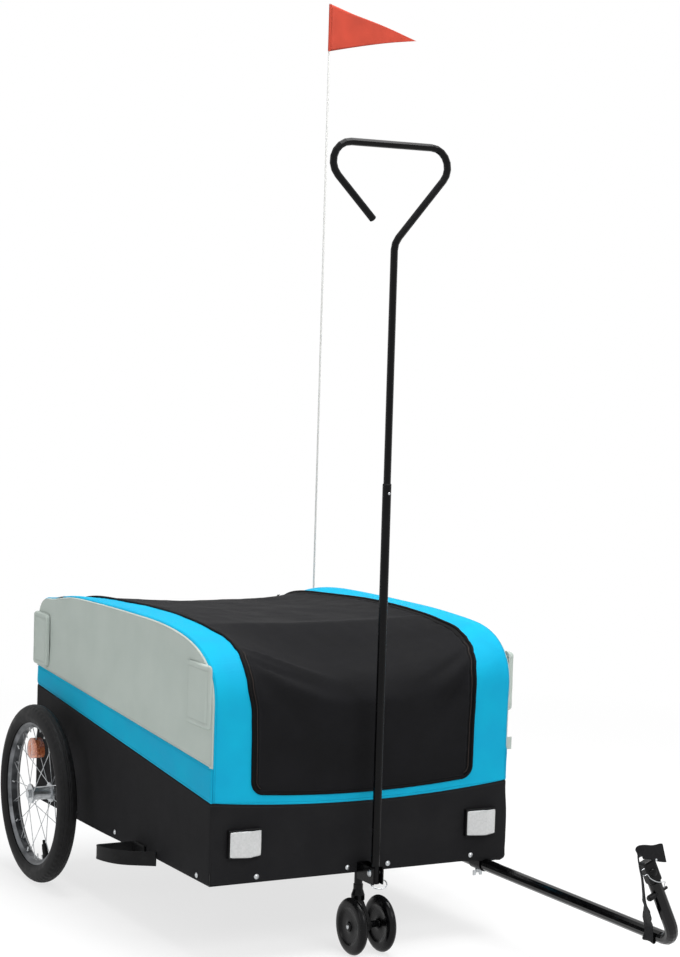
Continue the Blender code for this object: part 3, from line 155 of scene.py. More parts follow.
def coated_polyester(name, shade, light, thread, gloss, pitch=0.0014, rough=0.66):
    """600D polyester with a thin coating: a fine even weave with a low, broad sheen, with painted shade that darkens
    the weave's dips a little, and uneven where it is stretched over the frame. The real thread pitch is near 0.5 mm. It
    is drawn two to three times as coarse, so that it shows."""
    material, tree, place = begin(name)
    weave = plain_weave(tree, place, pitch)
    patches = add(tree, "TexNoise", {"Vector": place, "Scale": 11.0, "Detail": 2.0})
    slack = add(tree, "TexNoise", {"Vector": place, "Scale": 28.0, "Detail": 3.0})
    sewn = seam_stitches(tree, place)
    spread = add(tree, "MapRange", {"Value": patches, "From Min": 0.35, "From Max": 0.65,
                                    "To Min": 0.3, "To Max": 0.7})
    # Painted shade: the colour follows the weave's height, a little darker in its dips
    mix = add(tree, "Math", {0: weave, 1: 0.16, 2: spread}, operation="MULTIPLY_ADD", use_clamp=True)
    cloth = add(tree, "Mix", {0: mix, 6: linear(shade), 7: linear(light)}, 2, data_type="RGBA")
    sewn_share = add(tree, "Math", {0: sewn, 1: 0.6}, operation="MULTIPLY")
    colour = add(tree, "Mix", {0: sewn_share, 6: cloth, 7: linear(thread)}, 2, data_type="RGBA")
    threads = add(tree, "Bump", {"Height": weave, "Distance": 0.00010, "Strength": 0.5})
    waves = add(tree, "Bump", {"Height": slack, "Distance": 0.0010, "Strength": 0.30, "Normal": threads})
    raised = add(tree, "Bump", {"Height": sewn, "Distance": 0.0006, "Strength": 0.8, "Normal": waves})
    dull = add(tree, "MapRange", {"Value": patches, "From Min": 0.3, "From Max": 0.7,
                                  "To Min": rough - 0.05, "To Max": rough + 0.06})
    return finish(material, Base_Color=colour, Roughness=dull, Normal=raised, IOR=1.45,
                  Specular_IOR_Level=gloss)


def even_finish(name, shades, fine, broad, share, dull, raised, drawn=None, **sockets):
    """A finish of two shades. Fine and broad are its patterns, as scale and detail. Share is the
    stretch of the broad pattern that turns the first shade to the second, and how far. Dull is
    a stretch of the pattern and the roughness at its two ends, raised is the fine pattern's
    depth and strength, and drawn stretches the fine pattern along lines."""
    material, tree, place = begin(name)
    lines = add(tree, "Mapping", {"Vector": place, "Scale": drawn}) if drawn else place
    small = add(tree, "TexNoise", {"Vector": lines, "Scale": fine[0], "Detail": fine[1]})
    large = add(tree, "TexNoise", {"Vector": place, "Scale": broad[0], "Detail": broad[1]})
    mix = add(tree, "MapRange", {"Value": large, "From Min": share[0], "From Max": share[1], "To Max": share[2]})
    colour = add(tree, "Mix", {0: mix, 6: linear(shades[0]), 7: linear(shades[1])}, 2, data_type="RGBA")
    rough = add(tree, "MapRange", {"Value": small if drawn else large, "From Min": dull[0], "From Max": dull[1],
                                   "To Min": dull[2], "To Max": dull[3]})
    skin = add(tree, "Bump", {"Height": small, "Distance": raised[0], "Strength": raised[1]})
    return finish(material, Base_Color=colour, Roughness=rough, Normal=skin, **sockets)


def powder_coat(name, worn, rough, shine):
    """Gloss black polyester powder baked on steel tube: deep and even, with faint orange peel
    about 1.5 mm across, and a little duller where hands and clamps rub it."""
    return even_finish(name, ("050506", worn), (620, 2), (20, 4), (0.5, 0.8, 0.5), (0.3, 0.75, rough, rough + 0.12),
                       (0.00008, 0.25), Specular_IOR_Level=shine)


def zinc_plate(name, shade, light, rough):
    """Bright zinc plate on steel: a clear grey-white metal with fine draw lines, a little
    uneven where it has dulled."""
    return even_finish(name, (shade, light), (1, 3), (83, 2), (0.25, 0.6, 1), (0.3, 0.7, rough - 0.06, rough + 0.10),
                       (0.00003, 0.3), (900, 40, 900), Metallic=1.0)


def moulded_polypropylene(name, code, bloom, grain=0.0012, rough=0.42):
    """Injection-moulded polypropylene: satin, with a fine spark-eroded grain about 1 mm
    across and a soft bloom."""
    return even_finish(name, (code, bloom), (1 / grain, 4), (33, 2), (0.45, 0.8, 0.55),
                       (0.3, 0.7, rough - 0.05, rough + 0.10), (0.00012, 0.35), IOR=1.49, Specular_IOR_Level=0.15)


def prismatic_acrylic(name, deep, pale):
    """A moulded acrylic reflector: a glossy face over rows of small prisms, whose glints are painted as a mosaic of
    paler and deeper cells 3.2 mm across. The real prisms are 2 to 3 mm across."""
    material, tree, place = begin(name)
    prisms = {"Vector": place, "Scale": 1 / 0.0032, "Randomness": 0.25}
    # Painted reflection: each prism cell gets a paler or deeper tone for the light it catches
    painted_glint_cells = add(tree, "TexVoronoi", prisms, "Color")
    edges = add(tree, "TexVoronoi", prisms, feature="DISTANCE_TO_EDGE")
    tone = add(tree, "SeparateColor", {0: painted_glint_cells})
    colour = add(tree, "Mix", {0: tone, 6: linear(deep), 7: linear(pale)}, 2, data_type="RGBA")
    skin = add(tree, "Bump", {"Height": edges, "Distance": 0.0003, "Strength": 0.06})
    return finish(material, Base_Color=colour, Roughness=0.16, Normal=skin, IOR=1.49,
                  Coat_Weight=0.6, Coat_Roughness=0.05)


def white_glass_fibre(name):
    """White pigmented glass fibre rod: satin, with faint fibres along it, 0.7 mm apart."""
    material, tree, place = begin(name)
    along = add(tree, "Mapping", {"Vector": place, "Scale": (1500, 1500, 12)})
    fibres = add(tree, "TexNoise", {"Vector": along, "Scale": 1.0, "Detail": 2.0})
    colour = add(tree, "Mix", {0: fibres, 6: linear("B2B2B0"), 7: linear("C8C8C6")}, 2, data_type="RGBA")
    skin = add(tree, "Bump", {"Height": fibres, "Distance": 0.00005, "Strength": 0.3})
    return finish(material, Base_Color=colour, Roughness=0.38, Normal=skin)


def woven_webbing(name, shade, light, pitch=0.0022):
    """Flat woven polypropylene webbing: dull, with ribs across it, 2.2 mm apart unless the tape is finer. Painted shade
    darkens the hollows between its ribs and threads."""
    material, tree, place = begin(name)
    along = add(tree, "VectorMath", {0: place, 1: (0.6, 0.35, 1)}, "Value", operation="DOT_PRODUCT")
    ribs = wave(tree, along, pitch)
    threads = plain_weave(tree, place, pitch / 2)
    # Painted shade: the colour follows the ribs' and threads' height, darker in their hollows
    spread = add(tree, "MapRange", {"Value": ribs, "From Min": -1.0, "To Min": 0.2, "To Max": 0.7})
    mix = add(tree, "Math", {0: threads, 1: 0.12, 2: spread}, operation="MULTIPLY_ADD", use_clamp=True)
    colour = add(tree, "Mix", {0: mix, 6: linear(shade), 7: linear(light)}, 2, data_type="RGBA")
    skin = add(tree, "Bump", {"Height": mix, "Distance": 0.0003, "Strength": 0.6})
    return finish(material, Base_Color=colour, Roughness=0.78, Normal=skin, Specular_IOR_Level=0.12)


def ripstop_nylon(name):
    """Thin red-orange ripstop nylon: a soft sheen and a grid of thicker threads 6 mm apart."""
    material, tree, place = begin(name)
    weave = plain_weave(tree, place, 0.0012)
    grid = 0.0
    for axis in (0, 2):
        across = wave(tree, add(tree, "SeparateXYZ", {0: place}, axis), 0.006)
        line = add(tree, "MapRange", {"Value": across, "From Min": 0.93, "From Max": 0.99})
        grid = add(tree, "Math", {0: line, 1: grid}, operation="MAXIMUM")
    patches = add(tree, "TexNoise", {"Vector": place, "Scale": 20.0, "Detail": 2.0})
    share = add(tree, "MapRange", {"Value": patches, "From Min": 0.3, "From Max": 0.7})
    colour = add(tree, "Mix", {0: share, 6: linear("92301F"), 7: linear("A03624")}, 2, data_type="RGBA")
    height = add(tree, "Math", {0: weave, 1: 0.3, 2: grid}, operation="MULTIPLY_ADD")
    skin = add(tree, "Bump", {"Height": height, "Distance": 0.0001, "Strength": 0.4})
    return finish(material, Base_Color=colour, Roughness=0.66, Normal=skin, Specular_IOR_Level=0.25)


def pressed_board(name):
    """Grey hard-pressed board with a leather-like grain about 2 mm across."""
    material, tree, place = begin(name)
    grain = add(tree, "TexVoronoi", {"Vector": place, "Scale": 450.0})
    patches = add(tree, "TexNoise", {"Vector": place, "Scale": 12.0, "Detail": 3.0})
    colour = add(tree, "Mix", {0: patches, 6: linear("2E2F31"), 7: linear("46474A")}, 2, data_type="RGBA")
    skin = add(tree, "Bump", {"Height": grain, "Distance": 0.0004, "Strength": 0.5})
    return finish(material, Base_Color=colour, Roughness=0.7, Normal=skin)


MATERIALS = {
    "black cloth": coated_polyester("black_coated_polyester", "18181A", "222223", "303031", 0.05),
    "cover cloth": coated_polyester("black_cover_polyester", "131314", "1B1B1D", "28282A", 0.048, 0.0012, 0.68),
    "blue cloth": coated_polyester("blue_coated_polyester", "0D94BC", "10A7C8", "0B7CA0", 0.08),
    "grey cloth": coated_polyester("grey_coated_polyester", "A6B0AA", "B3BCB6", "98A19C", 0.10),
    "powder": powder_coat("black_powder_coat", "101011", 0.20, 0.13),
    "gloss powder": powder_coat("black_high_gloss_powder_coat", "0B0B0C", 0.12, 0.26),
    "zinc": zinc_plate("bright_zinc_plate", "8E9194", "BFC2C4", 0.28),
    "spokes": zinc_plate("zinc_spokes_and_hub", "989B9E", "C6C9CB", 0.36),
    "plastic": moulded_polypropylene("black_moulded_polypropylene", "0E0E0F", "1C1D1E"),
    "gloss plastic": moulded_polypropylene("black_glossy_polypropylene", "080809", "131314", 0.002, 0.22),
    # Carbon-black rubber is dull, greyer with dust here and there, with fine mould texture
    "rubber": even_finish("carbon_black_rubber", ("0D0D0E", "1B1B1C"), (700, 3), (50, 5), (0.4, 0.8, 1),
                          (0.3, 0.7, 0.52, 0.70), (0.0002, 0.35), Specular_IOR_Level=0.16),
    # A dark anodised aluminium rim is satin grey, with faint marks from rolling
    "rim": even_finish("dark_anodised_aluminium", ("46484A", "737578"), (640, 3), (33, 3), (0.3, 0.7, 1),
                       (0.3, 0.7, 0.32, 0.44), (0.00004, 0.4), Metallic=1.0),
    "clear lens": prismatic_acrylic("clear_prismatic_acrylic", "B4B5B5", "BDBEBE"),
    "amber lens": prismatic_acrylic("amber_prismatic_acrylic", "96482A", "C87A50"),
    "rod": white_glass_fibre("white_glass_fibre"),
    "webbing": woven_webbing("black_polypropylene_webbing", "0F0F10", "242426"),
    "zip coil": moulded_polypropylene("brown_grey_nylon_coil", "2E2623", "483C34", 0.001, 0.45),
    "piping": woven_webbing("black_piping_cord", "030304", "09090A", 0.0016),
    "flag": ripstop_nylon("red_ripstop_nylon"),
    "floor board": pressed_board("grained_grey_board"),
}


# Meshes and pieces

def finished(piece, material, body, replaced=()):
    """Gives a piece its material and body, and hides the solids that it stands for."""
    piece.data.materials.clear()
    piece.data.materials.append(MATERIALS[material])
    if body:
        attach(piece, body)
    if replaced:
        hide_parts(*replaced)
    return piece


def new_piece(name, mesh):
    """A mesh in the trailer's own frame as an object of the scene."""
    piece = bpy.data.objects.new(name, mesh)
    piece.location = ORIGIN
    bpy.context.scene.collection.objects.link(piece)
    return piece


def fitted(name, mesh, material, body, replaced=()):
    """A new piece of a mesh, with its material and body."""
    return finished(new_piece(name, mesh), material, body, replaced)


def shaded(mesh, sharp_degrees):
    """Smooth shading with sharp edges above an angle."""
    mesh.shade_smooth()
    mesh.set_sharp_from_angle(angle=math.radians(sharp_degrees))
    return mesh


def quads(rows, columns, round_rows=False, round_columns=False):
    """Faces of a grid of points, row after row."""
    faces = []
    for i in range(rows if round_rows else rows - 1):
        for j in range(columns if round_columns else columns - 1):
            a, b = i * columns, (i + 1) % rows * columns
            k = (j + 1) % columns
            faces.append((a + j, a + k, b + k, b + j))
    return faces


def new_mesh(name, points, faces, seams=None):
    """A mesh, in which seams holds each point's distance from its seam."""
    mesh = bpy.data.meshes.new(name)
    mesh.from_pydata([tuple(p) for p in points], [], faces)
    if seams:
        mesh.attributes.new("edge", "FLOAT", "POINT").data.foreach_set("value", seams)
    return mesh


def solid_mesh(name, points, faces, sharp_degrees=40, seams=None):
    """A mesh whose coinciding points are joined and whose faces are all turned outwards."""
    mesh = new_mesh(name, points, faces, seams)
    bm = bmesh.new()
    bm.from_mesh(mesh)
    bmesh.ops.remove_doubles(bm, verts=bm.verts, dist=0.00002)
    bmesh.ops.recalc_face_normals(bm, faces=bm.faces)
    bm.to_mesh(mesh)
    bm.free()
    return shaded(mesh, sharp_degrees)


def thickened(name, mesh, thickness):
    """A piece of a thin mesh with a thickness on its inner side."""
    piece = new_piece(name, mesh)
    wall = piece.modifiers.new("thickness", "SOLIDIFY")
    wall.thickness = thickness
    wall.offset = -1
    bpy.context.view_layer.update()
    made = bpy.data.meshes.new_from_object(piece.evaluated_get(bpy.context.evaluated_depsgraph_get()))
    piece.modifiers.clear()
    piece.data = made
    return piece


def cloth(name, rows, outward=None, round_rows=False, thickness=CLOTH, sharp_degrees=60):
    """A cloth through rows of points, or of pairs of a point and its distance from the seam.
    Outward is a direction that its face looks to."""
    spots = [spot for row in rows for spot in row]
    sewn = len(spots[0]) == 2
    points = [point for point, seam in spots] if sewn else spots
    seams = [seam for point, seam in spots] if sewn else None
    mesh = new_mesh(name, points, quads(len(rows), len(rows[0]), round_rows), seams)
    mesh.validate()
    shaded(mesh, sharp_degrees)
    if outward is not None and mesh.polygons[len(mesh.polygons) // 2].normal.dot(Vector(outward)) < 0:
        mesh.flip_normals()
    return thickened(name, mesh, thickness)


def even_turns(count):
    """The cosine and sine of each of a number of even turns."""
    turns = [2 * math.pi * i / count for i in range(count)]
    return [(math.cos(turn), math.sin(turn)) for turn in turns]


def turned(profile, sides, closed=False, sharp_degrees=35):
    """A profile of (radius, height) turned about Z."""
    points = [(r * c, r * s, h) for c, s in even_turns(sides) for r, h in profile]
    return solid_mesh("turned", points, quads(sides, len(profile), True, closed), sharp_degrees)


def moved(mesh, place, towards=(0, 0, 1)):
    """Turns a mesh's Z to a direction and moves it to a place."""
    turn = Vector(towards).to_track_quat("Z", "Y").to_matrix().to_4x4()
    mesh.transform(Matrix.Translation(place) @ turn)
    return mesh


def joined(name, meshes):
    """One mesh of several."""
    bm = bmesh.new()
    for mesh in meshes:
        bm.from_mesh(mesh)
        bpy.data.meshes.remove(mesh)
    made = bpy.data.meshes.new(name)
    bm.to_mesh(made)
    bm.free()
    return shaded(made, 40)


def soft_block(low, high, radius):
    """A block with rounded edges."""
    bm = bmesh.new()
    bmesh.ops.create_cube(bm, size=1)
    low, high = Vector(low), Vector(high)
    bmesh.ops.scale(bm, vec=high - low, verts=bm.verts)
    bmesh.ops.translate(bm, vec=(low + high) / 2, verts=bm.verts)
    bmesh.ops.bevel(bm, geom=bm.edges, offset=radius, segments=3, profile=0.5, affect="EDGES")
    mesh = bpy.data.meshes.new("soft_block")
    bm.to_mesh(mesh)
    bm.free()
    return mesh


def directions(path, ring=False):
    """The direction of a path at each of its points."""
    last = len(path) - 1
    found = []
    for i in range(len(path)):
        ahead = path[(i + 1) % len(path)] if ring else path[min(i + 1, last)]
        behind = path[i - 1] if ring else path[max(i - 1, 0)]
        found.append((ahead - behind).normalized())
    return found


def cord(path, radius, sides, ring=False, swell=0.0):
    """A round cord along a path with domed ends, or a closed ring. Swell thickens it at every
    second point."""
    path = [Vector(p) for p in path]
    points = []
    normal = None
    for i, along in enumerate(directions(path, ring)):
        normal = along.orthogonal() if normal is None else normal
        normal = (normal - along * normal.dot(along)).normalized()
        side = along.cross(normal)
        reach = radius + (swell if i % 2 else 0)
        if not ring and i in (0, len(path) - 1):
            reach *= 0.6
        points += [path[i] + (normal * c + side * s) * reach for c, s in even_turns(sides)]
    faces = quads(len(path), sides, ring, True)
    if not ring:
        faces += [tuple(range(sides)), tuple(range(len(points) - sides, len(points)))]
    return solid_mesh("cord", points, faces, 60)


def smooth_points(points, steps):
    """A smooth line through points, with a number of steps between each two."""
    found = []
    for i in range(len(points) - 1):
        a, b = points[max(i - 1, 0)], points[i]
        c, d = points[i + 1], points[min(i + 2, len(points) - 1)]
        for t in (k / steps for k in range(steps)):
            found.append(0.5 * (2 * b + (c - a) * t + (2 * a - 5 * b + 4 * c - d) * t * t
                                + (3 * b - 3 * c + d - a) * t ** 3))
    return found + [points[-1]]


def ripple(place, size, depth, seed):
    """A soft crease height at a place, creases about a size apart."""
    spot = Vector(place) / size + Vector((seed, seed * 1.7, seed * 0.6))
    return (noise.noise(spot) + 0.5 * noise.noise(spot * 2.1)) * depth


def ease(value, low, high):
    """From 0 at a low value to 1 at a high one, flat at both ends."""
    share = min(1, max(0, (value - low) / (high - low)))
    return share * share * (3 - 2 * share)


def bell(value, width):
    """1 at a value of 0, falling off on both sides over a width."""
    return math.exp(-(value / width) ** 2)


def stations(start, end, step, near=(0.0, 0.0012, 0.0026, 0.0045, 0.008, 0.013)):
    """Values from start to end about a step apart, closer together at both ends."""
    length = end - start
    near = [value for value in near if value < length * 0.25]
    low, high = near[-1], length - near[-1]
    count = max(1, round((high - low) / step))
    middle = [low + (high - low) * i / count for i in range(1, count)]
    return [start + value for value in near + middle + [length - v for v in near[::-1]]]


# The body's side profile, measured along its outer face from the front's foot

def bezier(a, b, c, d, steps):
    """Points of a curve from a to d that b and c pull towards themselves."""
    points = []
    for t in (i / steps for i in range(steps + 1)):
        s = 1 - t
        points.append(tuple(s ** 3 * a[k] + 3 * s * s * t * b[k] + 3 * s * t * t * c[k] + t ** 3 * d[k]
                            for k in (0, 1)))
    return points


BEND_FOOT = 0.520
FRONT_BEND = bezier((0, BEND_FOOT), (0, 0.625), (0.120, CREST), (0.360, CREST), 40)
REAR_BEND = bezier((0.500, CREST), (0.850, CREST - 0.004), (LENGTH, CREST), (LENGTH, BEND_FOOT), 48)
PROFILE = [(0.0, BOTTOM)] + FRONT_BEND + REAR_BEND + [(LENGTH, BOTTOM)]
RUN = [BOTTOM]
for before, after in zip(PROFILE, PROFILE[1:]):
    RUN.append(RUN[-1] + math.dist(before, after))


def on_profile(run):
    """The profile's (Y, Z) point and outward direction at a run along it."""
    i = min(max(bisect_right(RUN, run) - 1, 0), len(RUN) - 2)
    share = (run - RUN[i]) / (RUN[i + 1] - RUN[i])
    a, b = Vector(PROFILE[i]), Vector(PROFILE[i + 1])
    first = (b - Vector(PROFILE[max(i - 1, 0)])).normalized()
    second = (Vector(PROFILE[min(i + 2, len(PROFILE) - 1)]) - a).normalized()
    along = first.lerp(second, share).normalized()
    return a.lerp(b, share), Vector((-along.y, along.x))


def run_at(i, axis, value):
    """The run where the profile's Y or Z reaches a value after its point i."""
    a, b = PROFILE[i][axis], PROFILE[i + 1][axis]
    return RUN[i] + (RUN[i + 1] - RUN[i]) * (value - a) / (b - a)


def front_run(height):
    """The run at a height on the front."""
    return run_at(max(k for k in range(len(FRONT_BEND) + 1) if PROFILE[k][1] <= height), 1, height)


def rear_run(height):
    """The run at a height on the rear."""
    return run_at(max(k for k, point in enumerate(PROFILE) if point[1] > height), 1, height)


def top_run(y):
    """The run at a place along the top."""
    return run_at(max(k for k in range(len(FRONT_BEND) + len(REAR_BEND)) if PROFILE[k][0] <= y), 0, y)


COVER_END = rear_run(COVER_REAR_HEIGHT)
REAR_SEAM_RUN = rear_run(REAR_SEAM)
BEND = front_run(0.600)
FLAT_HALF = HALF - CORNER
SEAM_X = FLAT_HALF + CORNER * SEAM_ANGLE
ARC_END = FLAT_HALF + CORNER * math.pi / 2


def along_table(table, value):
    """A value read from a table of pairs, eased between its entries."""
    if value <= table[0][0]:
        return table[0][1]
    for (a, first), (b, second) in zip(table, table[1:]):
        if value <= b:
            return first + (second - first) * ease(value, a, b)
    return table[-1][1]


# How far the cover's middle line sways to the right, by run
SWAY = ((0.50, -0.001), (0.55, -0.0037), (0.600, 0.0006), (0.630, 0.0055), (0.70, 0.0076), (0.76, 0.0),
        (0.85, -0.0028), (0.97, 0.0))


def fullness(x, run):
    """How far the padding under the cloth stands out over the hoops: it is fullest at the front
    bend on the right, and at the rear bend on the left."""
    if x > 0:
        return 0.0130 * bell(run - 0.640, 0.105) * ease(x, 0.262, 0.325)
    corner = 0.0170 * bell(run - rear_run(0.603), 0.045) * ease(-x, 0.312, 0.342)
    return corner - 0.0038 * bell(run - top_run(0.83), 0.060) * ease(-x, 0.235, 0.310)


def on_body(x, run, lift=0.0):
    """A point of the body's skin, where X is measured along the skin and bends over the rounded
    edges and down the sides, and run is measured along the profile."""
    full = fullness(x, run)
    x += along_table(SWAY, run) * (1 - ease(abs(x), 0.275, 0.325))
    side = 1 if x >= 0 else -1
    reach = abs(x)
    point, out = on_profile(run)
    if reach <= FLAT_HALF:
        place, drop = side * reach, lift
    elif reach <= ARC_END:
        angle = (reach - FLAT_HALF) / CORNER
        place = side * (FLAT_HALF + (CORNER + lift) * math.sin(angle))
        drop = (CORNER + lift) * math.cos(angle) - CORNER
    else:
        place, drop = side * (HALF + lift), -CORNER - (reach - ARC_END)
    drop += full
    return Vector((place, point.x + out.x * drop, point.y + out.y * drop))


def front_seam(x):
    """The height of the seam between blue and black on the front."""
    return 0.309 + 0.019 * (x / HALF) ** 2


def side_seam(heights, y):
    """The height of a side's straight seam, from its heights at the front and the rear."""
    return heights[0] + (heights[1] - heights[0]) * y / LENGTH


def cover_foot(x):
    """The height of the cover's lower edge on the front."""
    return 0.330 + 0.011 * (x / 0.24) ** 2


# Half the cover's width, by run
COVER_HALF = ((0.34, 0.2545), (0.44, 0.2552), (0.50, 0.2572), (0.56, 0.2628), (0.60, 0.2672), (0.64, 0.2690),
              (0.70, 0.2708), (0.77, 0.2702), (0.86, 0.2686), (1.00, 0.2680))


def cover_half(run):
    """Half the cover's width, a little wavy at the bend."""
    return along_table(COVER_HALF, run) + 0.0012 * math.sin(run * 165) * bell(run - BEND - 0.03, 0.06)


def edge_fall(x, run):
    """How far the cover lies below the hoops: the bands slope down to it at the rear, more on
    the right."""
    fall = 0.0080 + 0.0020 * max(-1.0, min(1.0, x / 0.268))
    return fall * ease(run, top_run(0.42), top_run(0.76)) * (1 - 0.4 * ease(run, COVER_END - 0.05, COVER_END))


# Blue bands and front strip, one skin round the cover's opening

PIPING_RADIUS = 0.0034
COVER_CORNER = 0.026
CORNER_START = cover_foot(0.2265) + COVER_CORNER
CORNER_X = cover_half(CORNER_START) - COVER_CORNER
SIDE_STEPS = 96
FOOT_STEPS = 44
SKIN_COLUMNS = (0.0, 0.02, 0.05, 0.09, 0.16, 0.25, 0.36, 0.48, 0.6, 0.71, 0.80, 0.87, 0.92, 0.95, 0.97, 0.985, 1.0)


def opening():
    """The cover's edge and the skin's far edge opposite each of its points, as pairs of (x, run),
    from the rear left round the foot to the rear right."""
    left = []
    for i in range(SIDE_STEPS):
        run = COVER_END + (CORNER_START - COVER_END) * i / SIDE_STEPS
        left.append(((-cover_half(run), run), (-SEAM_X, run)))
    sharp = math.degrees(math.atan2(CORNER_START - front_seam(SEAM_X), SEAM_X - CORNER_X))
    for degrees in (0, sharp / 3, sharp * 2 / 3, sharp, 26, 34, 43, 52, 61, 70, 80):
        turn = math.radians(degrees)
        near = (-CORNER_X - COVER_CORNER * math.cos(turn), CORNER_START - COVER_CORNER * math.sin(turn))
        if degrees <= sharp + 0.01:
            far = (-SEAM_X, CORNER_START - (SEAM_X - CORNER_X) * math.tan(turn))
        else:
            x = -CORNER_X - (CORNER_START - front_seam(0.28)) / math.tan(turn)
            far = (max(x, -SEAM_X), front_seam(x))
        left.append((near, far))
    foot = [-CORNER_X + 2 * CORNER_X * i / FOOT_STEPS for i in range(FOOT_STEPS + 1)]
    right = [((-a[0], a[1]), (-b[0], b[1])) for a, b in left[::-1]]
    return left + [((x, cover_foot(x)), (x, front_seam(x))) for x in foot] + right


OPENING = opening()


def skin_lift(place, seam, calm=1.0):
    """How far a cloth stands off the frame: soft waves, and a groove at its seam."""
    waves = ripple(place, 0.11, 0.0011, 3.0) + ripple(place, 0.035, 0.00045, 9.0)
    return waves * calm * ease(seam, 0, 0.012) - 0.0015 * bell(seam, 0.0022)


def blue_shell():
    """The bands and the front strip: rows from the cover's edge out to the far seams."""
    def spot(near, far, share):
        x, run = (a + (b - a) * share for a, b in zip(near, far))
        seam = math.dist((x, run), far)
        fall = edge_fall(near[0], run) * (1 - ease(share, 0.0, 0.8))
        return on_body(x, run, skin_lift(on_body(x, run), seam) - fall), seam

    rows = [[spot(near, far, share) for share in SKIN_COLUMNS] for near, far in OPENING]
    finished(cloth("blue_shell", rows, (-1, -0.5, 0.3)), "blue cloth", "trailer",
             ("band_left", "band_right", "front_strip"))


def blue_rear():
    """The panel from behind the cover down to the black skirt."""
    def spot(x, run):
        seam = min(SEAM_X - abs(x), REAR_SEAM_RUN - run, run - COVER_END)
        return on_body(x, run, skin_lift(on_body(x, run), seam)), seam

    columns = stations(-SEAM_X, SEAM_X, 0.016)
    rows = [[spot(x, run) for x in columns] for run in stations(COVER_END + 0.0005, REAR_SEAM_RUN, 0.014)]
    finished(cloth("blue_rear", rows, (0, 1, 0)), "blue cloth", "trailer", ("rear_panel",))


# Grey sides, blue side bands and the black skirt

EDGE_DEPTHS = (0.0, 0.0012, 0.0026, 0.0042, ARC_END - SEAM_X, ARC_END - SEAM_X + 0.003)
GREY_SHARES = (0.02, 0.05, 0.1, 0.17, 0.25, 0.34, 0.43, 0.52, 0.61, 0.70, 0.78, 0.85, 0.90, 0.94, 0.97, 0.985, 1.0)
BAND_SHARES = (0.0, 0.015, 0.035, 0.06, 0.11, 0.2, 0.32, 0.44, 0.56, 0.68, 0.8, 0.89, 0.94, 0.965, 0.985, 1.0)
BLACK_SHARES = (0.0, 0.012, 0.027, 0.05, 0.1, 0.18, 0.28, 0.39, 0.5, 0.61, 0.72, 0.82, 0.90, 0.95, 1.0)


def grey_side(side, side_name):
    """The grey panel of a side: over the body's rounded edge, and then down to its lower seam."""
    def below_edge(depth, run):
        flat = on_body(side * (SEAM_X + depth), run)
        flat.z = max(flat.z, side_seam(GREY_SEAM, flat.y))
        return flat

    start, end = front_run(GREY_SEAM[0]), rear_run(GREY_SEAM[1])
    sideways = Vector((side, 0, 0))
    rows = []
    for run in stations(start, end, 0.009, (0.0, 0.0015, 0.003, 0.005, 0.008, 0.012, 0.018)):
        foot_y = LENGTH * ((run - start) / (end - start))
        foot = Vector((side * HALF, foot_y, side_seam(GREY_SEAM, foot_y)))
        row = []
        for depth in EDGE_DEPTHS:
            flat = below_edge(depth, run)
            seam = min(depth, (flat - foot).length)
            round_edge = (flat - on_body(side * FLAT_HALF, run, -CORNER)).normalized()
            out = sideways if depth > 0.005 else round_edge
            row.append((flat + out * skin_lift(flat, seam), seam))
        inner = below_edge(EDGE_DEPTHS[-1], run)
        for share in GREY_SHARES:
            flat = inner.lerp(foot, share)
            seam = min(EDGE_DEPTHS[-1] + (flat - inner).length, (flat - foot).length)
            pull = 0.0018 * ease(seam, 0, 0.09)
            row.append((flat + sideways * (skin_lift(flat, seam, 1.3) - pull), seam))
        rows.append(row)
    finished(cloth("grey_side_" + side_name, rows, (side, 0, 0)), "grey cloth", "trailer",
             ("side_" + side_name,))


def blue_side(side, side_name):
    """The blue band under a grey side, with its ends turned round the body's upright edges."""
    places = [(degrees, CORNER * (1 - math.cos(math.radians(degrees)))) for degrees in (38, 50, 62, 76)]
    rear = [(degrees, LENGTH - y) for degrees, y in places[::-1]]
    places += [(90, y) for y in stations(CORNER, LENGTH - CORNER, 0.012, (0.0, 0.004, 0.010))] + rear
    rows = []
    for degrees, y in places:
        turn = math.radians(degrees)
        out = Vector((side * math.sin(turn), (-1 if y < LENGTH / 2 else 1) * math.cos(turn), 0))
        x = side * (FLAT_HALF + CORNER * math.sin(turn))
        top, low = side_seam(GREY_SEAM, y), side_seam(BLACK_SEAM, y)
        row = []
        for share in BAND_SHARES:
            flat = Vector((x, y, low + (top - low) * share))
            seam = min(top - flat.z, flat.z - low)
            row.append((flat + out * skin_lift(flat, seam), seam))
        rows.append(row)
    finished(cloth("blue_side_" + side_name, rows, (side, 0, 0)), "blue cloth", "trailer")


def skirt_top(x, y, corner_share):
    """The height of the black skirt's seam round the body."""
    if y >= LENGTH - CORNER:
        return REAR_SEAM
    side_height = side_seam(BLACK_SEAM, y)
    return side_height + (front_seam(x) - side_height) * corner_share


def round_body():
    """Points round the body, each with the direction outwards: four rounded corners, and the
    straight faces between them."""
    corners = []
    for x_sign, y, first in ((-1, CORNER, 180), (1, CORNER, 270), (1, LENGTH - CORNER, 0), (-1, LENGTH - CORNER, 90)):
        outs = [Vector((math.cos(turn), math.sin(turn), 0))
                for turn in (math.radians(first + degrees) for degrees in range(0, 91, 15))]
        corners.append([(Vector((x_sign * FLAT_HALF, y, 0)) + out * CORNER, out) for out in outs])
    ring = []
    for corner, following in zip(corners, corners[1:] + corners[:1]):
        (start, out), (end, _) = corner[-1], following[0]
        count = round((end - start).length / 0.011)
        ring += corner + [(start.lerp(end, i / count), out) for i in range(1, count)]
    return ring


